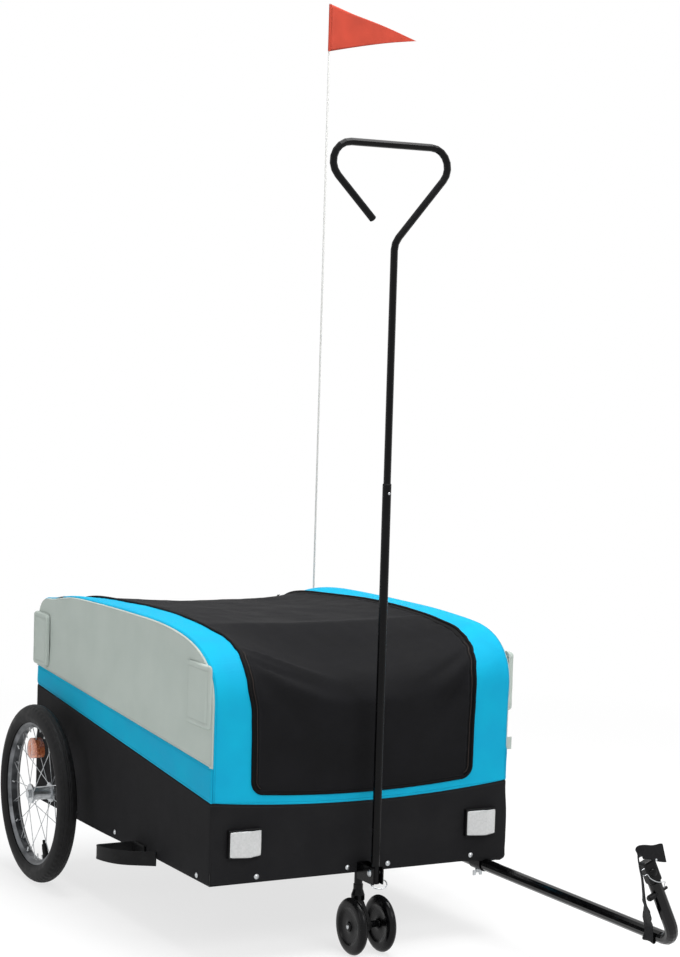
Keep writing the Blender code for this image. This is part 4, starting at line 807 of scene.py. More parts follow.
def black_skirt():
    """One band of cloth round the body, with a rolled hem turned in under it. It droops and
    stands out at the front's right corner."""
    rows = []
    for flat, out in round_body():
        top = skirt_top(flat.x, flat.y, ease(-out.y, 0.2, 1.0))
        corner = bell(min((flat - Vector((x, y, 0))).length for x in (-HALF, HALF) for y in (0, LENGTH)), 0.022)
        droop = ease(flat.x, 0.24, 0.31) * (1 - ease(flat.y, 0.05, 0.25))
        slack = 0.0060 * ease(flat.y, 0.2, 0.6) if flat.x < 0 else 0.0
        low = BOTTOM + 0.002 * corner - 0.0006 - slack - 0.0070 * droop
        hem_radius = 0.004 + 0.006 * droop
        push = 0.0045 * ease(flat.x, 0.335, HALF) * (1 - ease(flat.y, 0.02, 0.3))
        row = []
        for share in BLACK_SHARES:
            place = Vector((flat.x, flat.y, top + (low + hem_radius - top) * share))
            seam = top - place.z
            calm = 0.55 + 0.7 * bell(share - 0.45, 0.3)
            pinch = 0.0006 * ease(seam, 0, 0.02) + 0.0007 * bell(place.z - BOTTOM - 0.017, 0.005)
            place += out * (skin_lift(place, seam, calm) - pinch) + Vector((push * ease(seam, 0.0, 0.09), 0, 0))
            row.append((place, min(seam, place.z - low + 0.002)))
        for turn in (math.radians(degrees) for degrees in (30, 60, 90)):
            inset = hem_radius * (1 - math.cos(turn)) + 0.0006
            rise = hem_radius * (1 - math.sin(turn))
            row.append((flat - out * inset + Vector((push, 0, low + rise)), 0.0))
        row += [(flat - out * inset + Vector((0, 0, low + 0.0004)), 0.0) for inset in (0.009, 0.015)]
        rows.append(row)
    finished(cloth("black_skirt", rows, round_rows=True), "black cloth", "trailer",
             ("skirt_front", "skirt_rear", "skirt_left", "skirt_right"))


# Cover with its zips, and the piping round it

COVER_FOLDS = (
    # start and end as (x, height on the front), rise or dip, width
    ((-0.258, 0.600), (-0.020, 0.497), -0.0078, 0.013),
    ((-0.256, 0.622), (0.000, 0.526), 0.0060, 0.012),
    ((-0.250, 0.575), (-0.110, 0.425), -0.0026, 0.020),
    ((-0.250, 0.545), (-0.190, 0.400), 0.0022, 0.018),
    ((0.262, 0.604), (0.050, 0.500), -0.0072, 0.013),
    ((0.262, 0.590), (0.070, 0.462), 0.0056, 0.014),
    ((0.260, 0.568), (0.095, 0.410), -0.0062, 0.015),
    ((0.256, 0.535), (0.180, 0.385), 0.0024, 0.018),
    ((0.255, 0.470), (0.120, 0.395), -0.0018, 0.016),
    ((-0.250, 0.440), (-0.120, 0.385), -0.0016, 0.018),
)
# How far the cover cuts the front bend short in its middle, and how far it sags behind it
COVER_CUT = 0.048
COVER_SAG = 0.0150
COVER_GAP = 0.0004
COVER_ROWS = 120
COVER_COLUMNS = 88


def cover_folds(x, run):
    """Drag folds that run from the bend's two corners towards the middle of the front."""
    height = 0.0
    for start, end, rise, width in COVER_FOLDS:
        first = Vector((start[0], front_run(start[1])))
        line = Vector((end[0], front_run(end[1]))) - first
        off = Vector((x, run)) - first
        share = off.dot(line) / line.length_squared
        if -0.1 < share < 1.1:
            across = off.cross(line) / line.length + 0.010 * math.sin(share * 3.0)
            fade = ease(share, -0.02, 0.16) * (1 - ease(share, 0.30, 1.05))
            height += rise * fade * bell(across, width * (0.45 + 0.9 * share))
    return height


def bend_line(x):
    """The run at which the cover's front starts to lean back: lowest in the middle."""
    rise = 0.084 * (max(0.0, -0.03 - x) / 0.212) ** 1.75 + 0.092 * (max(0.0, x - 0.09) / 0.175) ** 1.1
    return front_run(min(0.625, 0.513 + rise))


def cover_lift(x, run):
    """How far the cover's cloth stands off the body's profile. Between the hoops it cuts the
    bend short below a V-shaped line, and it sags over the load space."""
    half = cover_half(run)
    low, high = bend_line(x), front_run(0.652)
    lean = max(0.0, min(1.0, (run - low) / (high - low)))
    over = ease(run, high - 0.07, top_run(0.30))
    across = 1 - min(1, abs(x) / half) ** (2 + over if x > 0 else 2 - 0.5 * over)
    rear = 1 - 0.85 * ease(run, COVER_END - 0.10, COVER_END - 0.008)
    sag = -across * (COVER_CUT * 4 * lean * (1 - lean) ** 1.1 + COVER_SAG * over * rear)
    edge, foot = half - abs(x), run - cover_foot(x)
    pull = ease(min(edge, foot, COVER_END - run), 0.0, 0.03)
    pucker = 0.0007 * math.sin(run * 2 * math.pi / 0.014 + 3 * math.sin(run * 17)) * bell(edge - 0.020, 0.010)
    waves = ripple((x, run, 1.3), 0.16, 0.0024, 5.0) + ripple((x * 1.4, run, 7.1), 0.055, 0.0011, 2.0)
    belly = 0.0030 * across * bell(run - cover_foot(x) - 0.10, 0.06)
    return COVER_GAP + sag + pucker + belly + (cover_folds(x, run) + waves) * pull - edge_fall(x, run)


def on_cover(x, run, lift=0.0):
    """A point of the cover's cloth."""
    return on_body(x, run, cover_lift(x, run) + lift)


def cover_grid():
    """Rows of (x, run) over the cover, from the rear to the foot, whose lower corners are
    rounded."""
    runs = [COVER_END + (CORNER_START - COVER_END) * i / COVER_ROWS for i in range(COVER_ROWS)]
    spans = [(run, cover_half(run) - COVER_GAP, 0.0) for run in runs]
    reach = COVER_CORNER - COVER_GAP
    for turn in (math.radians(90 * i / 12) for i in range(13)):
        spans.append((CORNER_START - reach * math.sin(turn), CORNER_X + reach * math.cos(turn),
                      ease(math.sin(turn), 0, 1)))
    even = [-1 + 2 * i / COVER_COLUMNS for i in range(COVER_COLUMNS + 1)]
    shares = [math.sin(math.pi / 2 * share) * 0.35 + share * 0.65 for share in even]
    rows = []
    for run, half, foot_share in spans:
        columns = [share * half for share in shares]
        rows.append([(x, run - (cover_foot(CORNER_X) - cover_foot(x)) * foot_share) for x in columns])
    return rows


def cover_cloth():
    """The cover's cloth, from its rear edge down to its foot."""
    def spot(x, run):
        return on_cover(x, run), min(cover_half(run) - abs(x) - 0.010, run - cover_foot(x), COVER_END - run)

    rows = [[spot(x, run) for x, run in flat_row] for flat_row in cover_grid()]
    cover = cloth("cover_cloth", rows, (0, -1, 0.5), thickness=0.0012)
    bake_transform(cover)
    finished(cover, "cover cloth", None, ("cover",))


def side_edge(side, inset, lift, step=0.0035, sunk=0.0):
    """Points along the cover's side edge, from the rear round the lower corner's bend. Over the
    top they may lie sunk in the cloth's folded edge."""
    points = []
    run = COVER_END - 0.004
    while run > CORNER_START:
        x = side * (cover_half(run) - inset)
        points.append(on_cover(x, run, lift - sunk * ease(run, BEND + 0.01, BEND + 0.05)))
        run -= step
    reach = COVER_CORNER - inset
    for turn in (math.radians(8 * i) for i in range(9)):
        points.append(on_cover(side * (CORNER_X + reach * math.cos(turn)), CORNER_START - reach * math.sin(turn), lift))
    return points


def zips():
    """A tape with a coil sewn along each side of the cover, and a pull at its rear end."""
    tape_lines = ((0.0022, 0.0003), (0.0040, 0.0008), (0.0074, 0.0010), (0.0108, 0.0008), (0.0124, 0.0002))
    for side, side_name in SIDES:
        tracks = [side_edge(side, inset, lift) for inset, lift in tape_lines]
        tape = cloth("zip_tape_" + side_name, tracks, (0, -0.5, 1), thickness=0.0008)
        finished(tape, "piping", "cover")
        coil = cord(side_edge(side, 0.0086, 0.0013, 0.0016, sunk=0.0022), 0.0006, 6, swell=0.0002)
        fitted("zip_coil_" + side_name, coil, "zip coil", "cover")
        run = COVER_END - 0.014
        x = side * (cover_half(run) - 0.0082)
        out = (on_body(x, run, 1.0) - on_body(x, run, 0.0)).normalized()
        along = (on_body(x, run - 0.004) - on_body(x, run + 0.004)).normalized()
        turn = Matrix((out.cross(along), along, out)).transposed().to_4x4()
        slider = joined("zip_pull_" + side_name, [
            soft_block((-0.0042, -0.0065, -0.0016), (0.0042, 0.0065, 0.0018), 0.0012),
            soft_block((-0.0015, -0.0045, 0.0016), (0.0015, 0.0045, 0.0034), 0.0008),
            soft_block((-0.0030, 0.0030, 0.0024), (0.0030, 0.0150, 0.0038), 0.0006)])
        slider.transform(Matrix.Translation(on_cover(x, run, 0.0030)) @ turn)
        fitted("zip_pull_" + side_name, slider, "zinc", "cover")


def piping():
    """A corded edge round the cover's opening, and a flat binding behind the cover."""
    path = [on_body(x, run, 0.0010 - edge_fall(x, run)) for (x, run), far in OPENING]
    fitted("cover_piping", cord(path, PIPING_RADIUS, 8), "piping", "trailer")
    half = cover_half(COVER_END)
    rows = []
    for x in stations(-half, half, 0.012):
        lines = ((-0.0040, cover_lift(x, COVER_END - 0.004) + 0.0010), (-0.0010, 0.0012), (0.0040, 0.0014),
                 (0.0075, 0.0006))
        rows.append([on_body(x, COVER_END + off, lift) for off, lift in lines])
    finished(cloth("cover_binding", rows, (0, 1, 0.5), thickness=0.001), "piping", "trailer")


# Bumpers and flaps

BUMPER_FACE = (
    # X and Y of the strap's outer face, from its front foot round to its rear foot
    (0.3462, 0.2500), (0.3560, 0.2560), (0.3685, 0.2635), (0.3810, 0.2710), (0.3925, 0.2784), (0.4035, 0.2868),
    (0.4130, 0.2972), (0.4205, 0.3090), (0.4262, 0.3215), (0.4306, 0.3345), (0.4334, 0.3460), (0.4345, 0.3540),
    (0.4340, 0.3582), (0.4318, 0.3604), (0.4280, 0.3612), (0.4100, 0.3612), (0.3800, 0.3612), (0.3520, 0.3610),
    (0.3480, 0.3596), (0.3464, 0.3560), (0.3461, 0.3480), (0.3461, 0.3280), (0.3461, 0.3070),
)
# The strap's heights above the floor, closer together at its rolled edges and its two ribs
BUMPER_HEIGHTS = (0.1480, 0.1484, 0.1494, 0.1512, 0.1524, 0.1530, 0.1560, 0.1630, 0.1700, 0.1730, 0.1736, 0.1748,
                  0.1766, 0.1776, 0.1780)


def bumpers():
    """A ribbed plastic strap in a D on each side, with its rear foot turned along the side."""
    face = smooth_points([Vector((x, y, 0)) for x, y in BUMPER_FACE], 3)
    for side, side_name in SIDES:
        rows = []
        for point, along in zip(face, directions(face)):
            out = Vector((along.y, -along.x, 0))
            row = []
            for z in BUMPER_HEIGHTS:
                ridge = 0.0007 * (bell(z - 0.1503, 0.0014) + bell(z - 0.1757, 0.0014))
                roll = 0.0009 if z in (BUMPER_HEIGHTS[0], BUMPER_HEIGHTS[-1]) else 0
                place = point + out * (ridge - roll)
                row.append((side * place.x, place.y, z))
            rows.append(row)
        strap = cloth("bumper_strap_" + side_name, rows, (side, 0, 0), thickness=0.0028, sharp_degrees=50)
        finished(strap, "plastic", "trailer", ("bumper_" + side_name,))


PAD_EDGE = (0.0, 0.0006, 0.0016, 0.003, 0.005, 0.0075, 0.0095, 0.011, 0.0125)
PAD_CORNER = 0.010
PAD_ROLL = 0.005
EYELET_HEIGHT = 0.5893


def pad(name, low, high, side, thickness, taper=0.0, front_thin=0.0):
    """A padded rectangle on the side, in Y and Z: rolled edges, a sewn groove inside them, and
    a thickness that tapers towards the rear, or thins at its front edge."""
    columns, heights = (stations(low[axis], high[axis], 0.006, PAD_EDGE) for axis in (0, 1))
    points, seams = [], []
    for spot in ((y, z) for y in columns for z in heights):
        gaps = [min(spot[axis] - low[axis], high[axis] - spot[axis]) for axis in (0, 1)]
        inner = Vector([max(0, PAD_CORNER - gap) for gap in gaps])
        edge = PAD_CORNER - inner.length if inner.length > 0 else min(gaps)
        y, z = spot
        if edge < 0:
            pull = (inner.length - PAD_CORNER) / inner.length
            y, z = (value + (min(max(value, low[axis] + PAD_CORNER), high[axis] - PAD_CORNER) - value) * pull
                    for axis, value in enumerate(spot))
            edge = 0
        crown = math.sqrt(max(0, 1 - (1 - min(edge, PAD_ROLL) / PAD_ROLL) ** 2))
        thinned = 1 - front_thin * (1 - ease(spot[0], low[0], low[0] + 0.022))
        full = thickness * (1 - taper * ease(spot[0], low[0], high[0])) * thinned
        groove = 0.0009 * bell(edge - 0.011, 0.0015)
        swell = 0.0006 * ease(edge, 0.012, 0.03) + ripple((side, y, z), 0.03, 0.0005, 4.0)
        lift = max(0.0, full * crown - groove * (full / thickness) + swell * crown)
        points.append(Vector((side * (HALF + 0.0004 + lift), y, z)))
        seams.append(max(0.0, edge - 0.0058))
    rows, width = len(columns), len(heights)
    faces = quads(rows, width)
    rim = list(range(width)) + [i * width - 1 for i in range(2, rows + 1)]
    rim += [(rows - 1) * width + j for j in range(width - 2, -1, -1)] + [i * width for i in range(rows - 2, 0, -1)]
    count = len(points)
    points += [Vector((side * (HALF + 0.0003), points[i].y, points[i].z)) for i in rim]
    for k, following in enumerate(list(range(1, len(rim))) + [0]):
        faces.append((rim[k], rim[following], count + following, count + k))
    faces.append(tuple(range(count, len(points))))
    mesh = solid_mesh(name, points, faces, 55, seams + [0.0] * len(rim))
    piece = fitted(name, mesh, "grey cloth", "trailer", (name.replace("pad", "flap"),))


def flaps():
    """The four padded corner flaps, the sewn side tab and the eyelet of the flag pole."""
    for side, side_name in SIDES:
        thickness, thin = (0.0066, 0.6) if side < 0 else (0.0135, 0.0)
        pad("pad_front_" + side_name, (0.0085, 0.471), (0.125, 0.597), side, thickness, 0.55, thin)
        pad("pad_rear_" + side_name, (0.8735, 0.471), (0.9575, 0.594), side, 0.0078)
    tab = soft_block((0.3435, 0.0090, 0.3905), (0.3590, 0.0108, 0.4165), 0.0006)
    fitted("side_tab", tab, "grey cloth", "trailer")
    eyelet = turned([(0.0030, 0.0), (0.0062, 0.0), (0.0062, 0.0010), (0.0048, 0.0020), (0.0034, 0.0020),
                     (0.0030, 0.0014)], 20, True)
    fitted("pole_eyelet", moved(eyelet, POLE + Vector((0, 0, EYELET_HEIGHT))), "plastic", "trailer")


# Front reflectors and rivets

LENS_STEPS = 32
LENS_RIM = 0.0012


def lens(side, side_name):
    """A front reflector's lens: two faces that meet in an upright ridge, with rounded corners
    and a slightly curved top and bottom."""
    centre_x, centre_z, half_width, half_height = side * 0.2745 + 0.0025, 0.2440, 0.0355, 0.0268
    shares = [-1 + 2 * i / LENS_STEPS for i in range(LENS_STEPS + 1)]
    points = []
    for u, v in ((u, v) for u in shares for v in shares):
        tall = half_height * (1 - 0.05 * abs(u))
        x, z = u * half_width * (1 - 0.012 * abs(v) ** 6), v * tall
        edge = min((1 - abs(u)) * half_width, (1 - abs(v)) * tall)
        rim = math.sqrt(max(0, 1 - (1 - min(edge, LENS_RIM) / LENS_RIM) ** 2))
        slope = (u + 1) / 1.24 if u < 0.24 else (1 - u) / 0.76
        depth = 0.0086 + 0.0014 * rim + 0.0080 * slope
        points.append((centre_x + x, -0.0006 - depth, centre_z + z))
    mesh = solid_mesh("lens", points, quads(len(shares), len(shares)), 12)
    if mesh.polygons[len(mesh.polygons) // 2].normal.y > 0:
        mesh.flip_normals()
    finished(thickened("front_lens_" + side_name, mesh, 0.0006), "clear lens", "trailer",
             ("reflector_front_" + side_name,))
    gasket = soft_block((centre_x - half_width - 0.0012, -0.0104, centre_z - half_height - 0.0010),
                        (centre_x + half_width + 0.0006, 0.0, centre_z + half_height + 0.0018), 0.0012)
    fitted("front_lens_base_" + side_name, gasket, "plastic", "trailer")


# Radius and height of a rivet's head, from its crown out to its washer
RIVET_PROFILE = [(0.0, 0.0024), (0.0016, 0.0022), (0.0030, 0.0016), (0.0040, 0.0006), (0.0044, 0.0003),
                 (0.0052, 0.0002), (0.0055, -0.0004), (0.0, -0.0004)]
RIVET_HEIGHT = 0.174
SIDE_RIVET_HEIGHT = 0.173


def rivets():
    """Rivets through the cloth into the frame's rails."""
    places = [((x, -0.0002, RIVET_HEIGHT), (0, -1, 0)) for x in (-0.241, -0.034, 0.060, 0.260)]
    places += [((x, LENGTH + 0.0002, RIVET_HEIGHT), (0, 1, 0)) for x in (-0.250, -0.084, 0.084, 0.250)]
    for side, _ in SIDES:
        places += [((side * (HALF + 0.0002), y, SIDE_RIVET_HEIGHT), (side, 0, 0))
                   for y in (0.059, 0.472, 0.690, 0.885)]
    made = joined("body_rivets", [moved(turned(RIVET_PROFILE, 20), place, out) for place, out in places])
    fitted("body_rivets", made, "zinc", "trailer")


# Road wheels

# Distances from the axle to the middle of the tyre's section, the reflector, the nipples and the valve
TYRE_MIDDLE = 0.1775
REFLECTOR_PLACE = 0.102
NIPPLE_PLACE = 0.1385
VALVE_PLACE = 0.107

TYRE_SECTION = 0.0225
TREAD_CUT = 0.0010
SHOULDER_CUT = 0.0012
TREAD_STEPS = 288
SECTION_STEPS = 56
REFLECTOR_HALF_WIDTH = 0.0312
REFLECTOR_HALF_HEIGHT = 0.0232


def tyre_mesh():
    """A tyre with rows of tread blocks, a sidewall line and beads that sit on the rim."""
    angles = [-140 + 280 * i / SECTION_STEPS for i in range(SECTION_STEPS + 1)]
    points = []
    for i, (c, s) in enumerate(even_turns(TREAD_STEPS)):
        for degrees in angles:
            off = abs(degrees)
            step = i + (2 if degrees > 0 else 0)
            cut = 0.0
            if 5 <= off <= 9 or 27 <= off <= 30 or (10 <= off <= 26 and (step + round(off / 9)) % 6 == 0):
                cut = TREAD_CUT
            if 30 <= off <= 50 and step % 4 == 0:
                cut = SHOULDER_CUT
            ridge = 0.0004 * bell(off - 96, 3.0) + 0.0004 * bell(off - 122, 3.5)
            reach = TYRE_SECTION - cut + ridge - 0.0008 * bell(off - 75, 20)
            r = TYRE_MIDDLE + reach * math.cos(math.radians(degrees))
            points.append((r * c, r * s, reach * math.sin(math.radians(degrees))))
    return solid_mesh("tyre", points, quads(TREAD_STEPS, len(angles), True), 32)


def wheel_reflector():
    """An oval amber reflector across the spokes, with two domed halves on each face."""
    steps = 36
    points = []
    rings = [(1, ring / 10) for ring in range(11)]
    rings += [(-1, share) for _, share in rings[::-1]]
    for face, share in rings:
        for c, s in even_turns(steps):
            t = math.copysign(abs(c) ** 0.85, c) * share * REFLECTOR_HALF_WIDTH
            r = math.copysign(abs(s) ** 0.90, s) * share * REFLECTOR_HALF_HEIGHT
            dome = 0.0036 * (1 - share ** 5) + 0.0092 - 0.0016 * bell(t, 0.0045) * (1 - share)
            points.append((t, REFLECTOR_PLACE + r - 6.0 * t * t, face * dome))
    return solid_mesh("wheel_reflector", points, quads(len(rings), steps, False, True))


def on_wheel(mesh, side, turn):
    """Turns a mesh made about Z, with its top at +Y, onto a wheel: turn is the angle of its top
    from the trailer's +Y towards +Z."""
    mesh.transform(Matrix.Rotation(math.radians(turn - 90), 4, "Z"))
    wheel_axes = Matrix(((0, 0, side), (1, 0, 0), (0, 1, 0))).to_4x4()
    mesh.transform(Matrix.Translation(Vector((side * WHEEL.x, WHEEL.y, WHEEL.z))) @ wheel_axes)
    if side < 0:
        mesh.flip_normals()
    return mesh


SPOKE_PAIRS = 10
NIPPLE_PROFILE = [(0.0, 0.0), (0.0013, 0.0), (0.0016, 0.0006), (0.0016, 0.0085), (0.0021, 0.0095), (0.0021, 0.0115),
                  (0.0, 0.0115)]


def spoke_nipples():
    """A nipple at the rim for each spoke, which crosses its neighbour from the hub."""
    step = 2 * math.pi / SPOKE_PAIRS
    made = []
    for flange_side, phase in ((1, 0), (-1, step / 2)):
        for i in range(SPOKE_PAIRS):
            turn = phase + i * step + (1 if i % 2 == 0 else -1) * step
            out = Vector((math.cos(turn), math.sin(turn), 0))
            place = out * NIPPLE_PLACE + Vector((0, 0, flange_side * 0.0034))
            made.append(moved(turned(NIPPLE_PROFILE, 8), place, out))
    return joined("spoke_nipples", made)


def valve():
    """A tube valve with its rubber stem and cap."""
    profile = [(0.0, 0.0), (0.0026, 0.0002), (0.0032, 0.0012), (0.0034, 0.0080), (0.0058, 0.0105), (0.0064, 0.0200),
               (0.0064, 0.0290), (0.0070, 0.0345), (0.0076, 0.0352), (0.0076, 0.0430), (0.0, 0.0430)]
    return moved(turned(profile, 16), Vector((0, VALVE_PLACE, 0)), (0, 1, 0))


def wheels():
    """What each road wheel carries on its rim and spokes."""
    for side, side_name in SIDES:
        parts = (
            # name, mesh, angle of its top, material, slot, the solid that it stands for
            ("tyre_tread_", tyre_mesh(), 90, "rubber", "tyre_rubber", "tyre_"),
            ("amber_lens_", wheel_reflector(), 81, "amber lens", "reflector_amber", "wheel_reflector_"),
            ("spoke_nipples_", spoke_nipples(), 90, "spokes", "bright_steel", None),
            ("valve_", valve(), -114, "rubber", "tyre_rubber", None),
        )
        for name, mesh, turn, material, slot, solid in parts:
            fitted(name + side_name, on_wheel(mesh, side, turn), material, "wheel_" + side_name,
                   (solid + side_name,) if solid else ())


# Castor and walking handle

GRIP_END = Vector((-0.051, HANDLE_Y, 1.481))
JOINT_HEIGHT = 0.955
PIN_RING_RADIUS = 0.0165


def castor_wheels():
    """Moulded wheels: a crowned tread, a dished web with a raised ring, and a hub boss."""
    half = [(0.0034, 0.0094), (0.0085, 0.0094), (0.0098, 0.0086), (0.0105, 0.0060), (0.0130, 0.0052),
            (0.0180, 0.0048), (0.0290, 0.0050), (0.0345, 0.0060), (0.0375, 0.0086), (0.0392, 0.0093),
            (0.0430, 0.0094), (0.0475, 0.0093), (0.0510, 0.0086), (0.0545, 0.0068), (0.0567, 0.0042),
            (0.0577, 0.0016), (0.0580, 0.0)]
    profile = half + [(r, -h) for r, h in half[-2::-1]]
    for side, side_name in SIDES:
        wheel = moved(turned(profile, 96, True, 38), Vector((side * CASTOR.x, CASTOR.y, CASTOR.z)), (1, 0, 0))
        fitted("castor_tyre_" + side_name, wheel, "gloss plastic", "castor_wheel_" + side_name,
               ("castor_wheel_" + side_name,))


def handle_details():
    """The plug in the grip's open end, the wire ring of the pin and the collar of the tube joint."""
    plug = turned([(0.0, 0.0030), (0.0030, 0.0028), (0.0058, 0.0020), (0.0072, 0.0008), (0.0075, 0.0),
                   (0.0062, -0.0002), (0.0060, -0.0120), (0.0, -0.0120)], 24)
    plug = moved(plug, GRIP_END, (0.147, 0, -0.1475))
    fitted("grip_plug", plug, "plastic", "handle")
    centre = Vector((0.0035, HANDLE_Y - 0.0100, 0.1515))
    tilt = Matrix.Rotation(math.radians(24), 3, "X") @ Matrix.Rotation(math.radians(-9), 3, "Y")
    path = [centre + tilt @ Vector((c, s, 0)) * PIN_RING_RADIUS for c, s in even_turns(48)]
    fitted("pin_ring", cord(path, 0.0012, 8, ring=True), "zinc", "trailer")
    collar = turned([(0.0076, 0.0), (0.0090, 0.0), (0.0090, 0.0012), (0.0084, 0.0026), (0.0076, 0.0030)], 32, True)
    fitted("tube_collar", moved(collar, (0, HANDLE_Y, JOINT_HEIGHT)), "plastic", "handle")


# Tow bar and hitch

STRAP_ROUTE = (
    # place from the bar's elbow, then the direction of the strap's width
    ((-0.0485, -0.0150, 0.1755), (-0.30, 0, 1)),
    ((-0.0590, -0.0165, 0.1770), (-0.20, 0, 1)),
    ((-0.0760, -0.0170, 0.1790), (0, 0, 1)),
    ((-0.0920, -0.0172, 0.1815), (0, 0, 1)),
    ((-0.1000, -0.0168, 0.1818), (0.05, 0.1, 1)),
    ((-0.1042, -0.0138, 0.1788), (0.30, 0.42, 0.82)),
    ((-0.1058, -0.0140, 0.1692), (0.50, 0.78, 0.30)),
    ((-0.1082, -0.0215, 0.1575), (0.48, 0.88, 0.05)),
    ((-0.1091, -0.0327, 0.1346), (0.47, 0.88, 0)),
    ((-0.1031, -0.0328, 0.0984), (0.43, 0.90, 0)),
    ((-0.0905, -0.0240, 0.0806), (0.34, 0.94, 0)),
    ((-0.0810, -0.0150, 0.0690), (0.36, 0.93, 0)),
    ((-0.0550, 0.0200, 0.0510), (0.36, 0.93, 0)),
    ((-0.0240, 0.0580, 0.0250), (0.10, 1, 0)),
    ((-0.0172, 0.0630, 0.0060), (0, 1, 0)),
    ((-0.0125, 0.0700, -0.0100), (0, 1, 0)),
    ((-0.0030, 0.0800, -0.0158), (0, 1, 0)),
)
# The strap's section, as shares of half its width and of half its thickness
STRAP_SHAPE = ((-1, 0), (-0.985, 0.75), (-0.93, 1), (-0.5, 1), (0, 1), (0.5, 1), (0.93, 1), (0.985, 0.75),
               (1, 0), (0.985, -0.75), (0.93, -1), (0.5, -1), (0, -1), (-0.5, -1), (-0.93, -1), (-0.985, -0.75))
STRAP_WIDTH = 0.026
STRAP_THICKNESS = 0.0018
STRAP_LOOP = Vector((0, 0.0833, 0))
STRAP_LOOP_RADIUS = 0.01505


def safety_webbing():
    """The strap from the coupling block down to the bar, with its lower end wrapped round it."""
    centres = [ELBOW + Vector(place) for place, width in STRAP_ROUTE]
    widths = [Vector(width).normalized() for place, width in STRAP_ROUTE]
    for turn in (math.radians(degrees) for degrees in range(284, 375, 13)):
        centres.append(ELBOW + STRAP_LOOP + Vector((math.cos(turn), 0, math.sin(turn))) * STRAP_LOOP_RADIUS)
        widths.append(Vector((0, 1, 0)))
    centres, widths = smooth_points(centres, 5), smooth_points(widths, 5)
    points = []
    for i, along in enumerate(directions(centres)):
        width = (widths[i] - along * widths[i].dot(along) * ease(i, 3, 10)).normalized()
        wide = STRAP_WIDTH * (1.42 - 0.42 * ease(i, 2, 13)) / 2
        thick = along.cross(width) * STRAP_THICKNESS / 2
        points += [centres[i] + width * (u * wide) + thick * lift for u, lift in STRAP_SHAPE]
    sides = len(STRAP_SHAPE)
    faces = quads(len(centres), sides, False, True)
    faces += [tuple(range(sides)), tuple(range(len(points) - sides, len(points)))]
    strap = new_piece("safety_webbing", solid_mesh("safety_webbing", points, faces, 60))
    bpy.context.view_layer.update()
    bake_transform(strap)
    finished(strap, "webbing", None, ("safety_strap",))


def hitch_details():
    """The strap's rivet, the wire bail of the pin and the boss of the coupling block."""
    rivet = turned([(r * 0.5, z * 0.6) for r, z in RIVET_PROFILE], 16)
    fitted("strap_rivet", moved(rivet, ELBOW + Vector((-0.0680, -0.0176, 0.1650)), (0, -1, 0)), "zinc", "hitch")
    bail = smooth_points([ELBOW + Vector(place) for place in (
        (-0.0930, -0.0167, 0.1510), (-0.1005, -0.0167, 0.1470), (-0.0990, -0.0167, 0.1395), (-0.0920, -0.0170, 0.1380),
        (-0.0866, -0.0175, 0.1393), (-0.0800, -0.0190, 0.1315), (-0.0655, -0.0200, 0.1245), (-0.0480, -0.0180, 0.1225),
        (-0.0425, -0.0130, 0.1200), (-0.0405, -0.0080, 0.1090))], 8)
    fitted("pin_bail", cord(bail, 0.0008, 8), "zinc", "hitch_pin")
    boss = turned([(0.0, 0.0040), (0.0050, 0.0038), (0.0068, 0.0028), (0.0076, 0.0010), (0.0080, 0.0), (0.0, 0.0)], 24)
    place = ELBOW + UPRIGHT * 0.1500 + Vector((-0.0010, -0.0112, 0))
    fitted("coupler_boss", moved(boss, place, (0, -1, 0.05)), "gloss plastic", "hitch")


# Flag

HOIST_LOW = 1.936
HOIST_HIGH = 2.050
FLY_TIP = 1.983
FLY_LENGTH = 0.250
SLEEVE_RADIUS = 0.0031


def pennant():
    """The flag with its sleeve sewn round the pole, and a soft wave in its fly."""
    columns, across = 46, 20
    rows = []
    for share in ((column / columns) ** 0.95 for column in range(columns + 1)):
        x = POLE_RADIUS + 0.0006 + (FLY_LENGTH - POLE_RADIUS) * share * 0.9995
        high = max(HOIST_HIGH - 0.0012 + (FLY_TIP - HOIST_HIGH) * share, FLY_TIP)
        low = HOIST_LOW + 0.0008 + (FLY_TIP - HOIST_LOW) * share + 0.0035 * math.sin(math.pi * share)
        low = min(low, FLY_TIP - 0.0002 * (1 - share))
        row = []
        for z in (low + (high - low) * j / across for j in range(across + 1)):
            wave = 0.0060 * math.sin(share * 7.2 + (z - 1.98) * 12) * ease(share, 0, 0.35) * (1 - 0.25 * share)
            row.append(((POLE.x + x, POLE.y + wave, z), min(high - z, z - low, (1 - share) * FLY_LENGTH)))
        rows.append(row)
    fly = finished(cloth("pennant", rows, (0, -1, 0), thickness=0.0004), "flag", "flag", ("flag",))
    heights = (1.9365, 1.9380, 1.9700, 2.0100, 2.0475, 2.0490)
    points = [(POLE.x + SLEEVE_RADIUS * c, POLE.y + SLEEVE_RADIUS * s, z) for z in heights for c, s in even_turns(16)]
    sleeve = solid_mesh("pennant_sleeve", points, quads(len(heights), 16, False, True))
    fitted("pennant_sleeve", sleeve, "flag", "flag")


# The frame's own solids keep their shape and get their real finish

FINISHES = {
    "powder": ("rail_front", "rail_rear", "rail_left", "rail_right", "hoop_left", "hoop_right", "crossbar_front",
               "crossbar_rear", "handle_bracket", "handle_tube_lower", "handle_tube_upper", "tow_bar_clamp",
               "tow_bar_socket", "axle_bracket_left", "axle_bracket_right"),
    "gloss powder": ("tow_bar",),
    "zinc": ("wing_screw", "axle_left", "axle_right", "castor_axle", "handle_button", "handle_pin"),
    "spokes": ("hub_left", "hub_right"),
    "rim": ("rim_left", "rim_right"),
    "plastic": ("hitch_coupler", "hitch_pin"),
    "gloss plastic": ("castor_fork",),
    "rod": ("flag_pole",),
    "floor board": ("floor_board",),
}


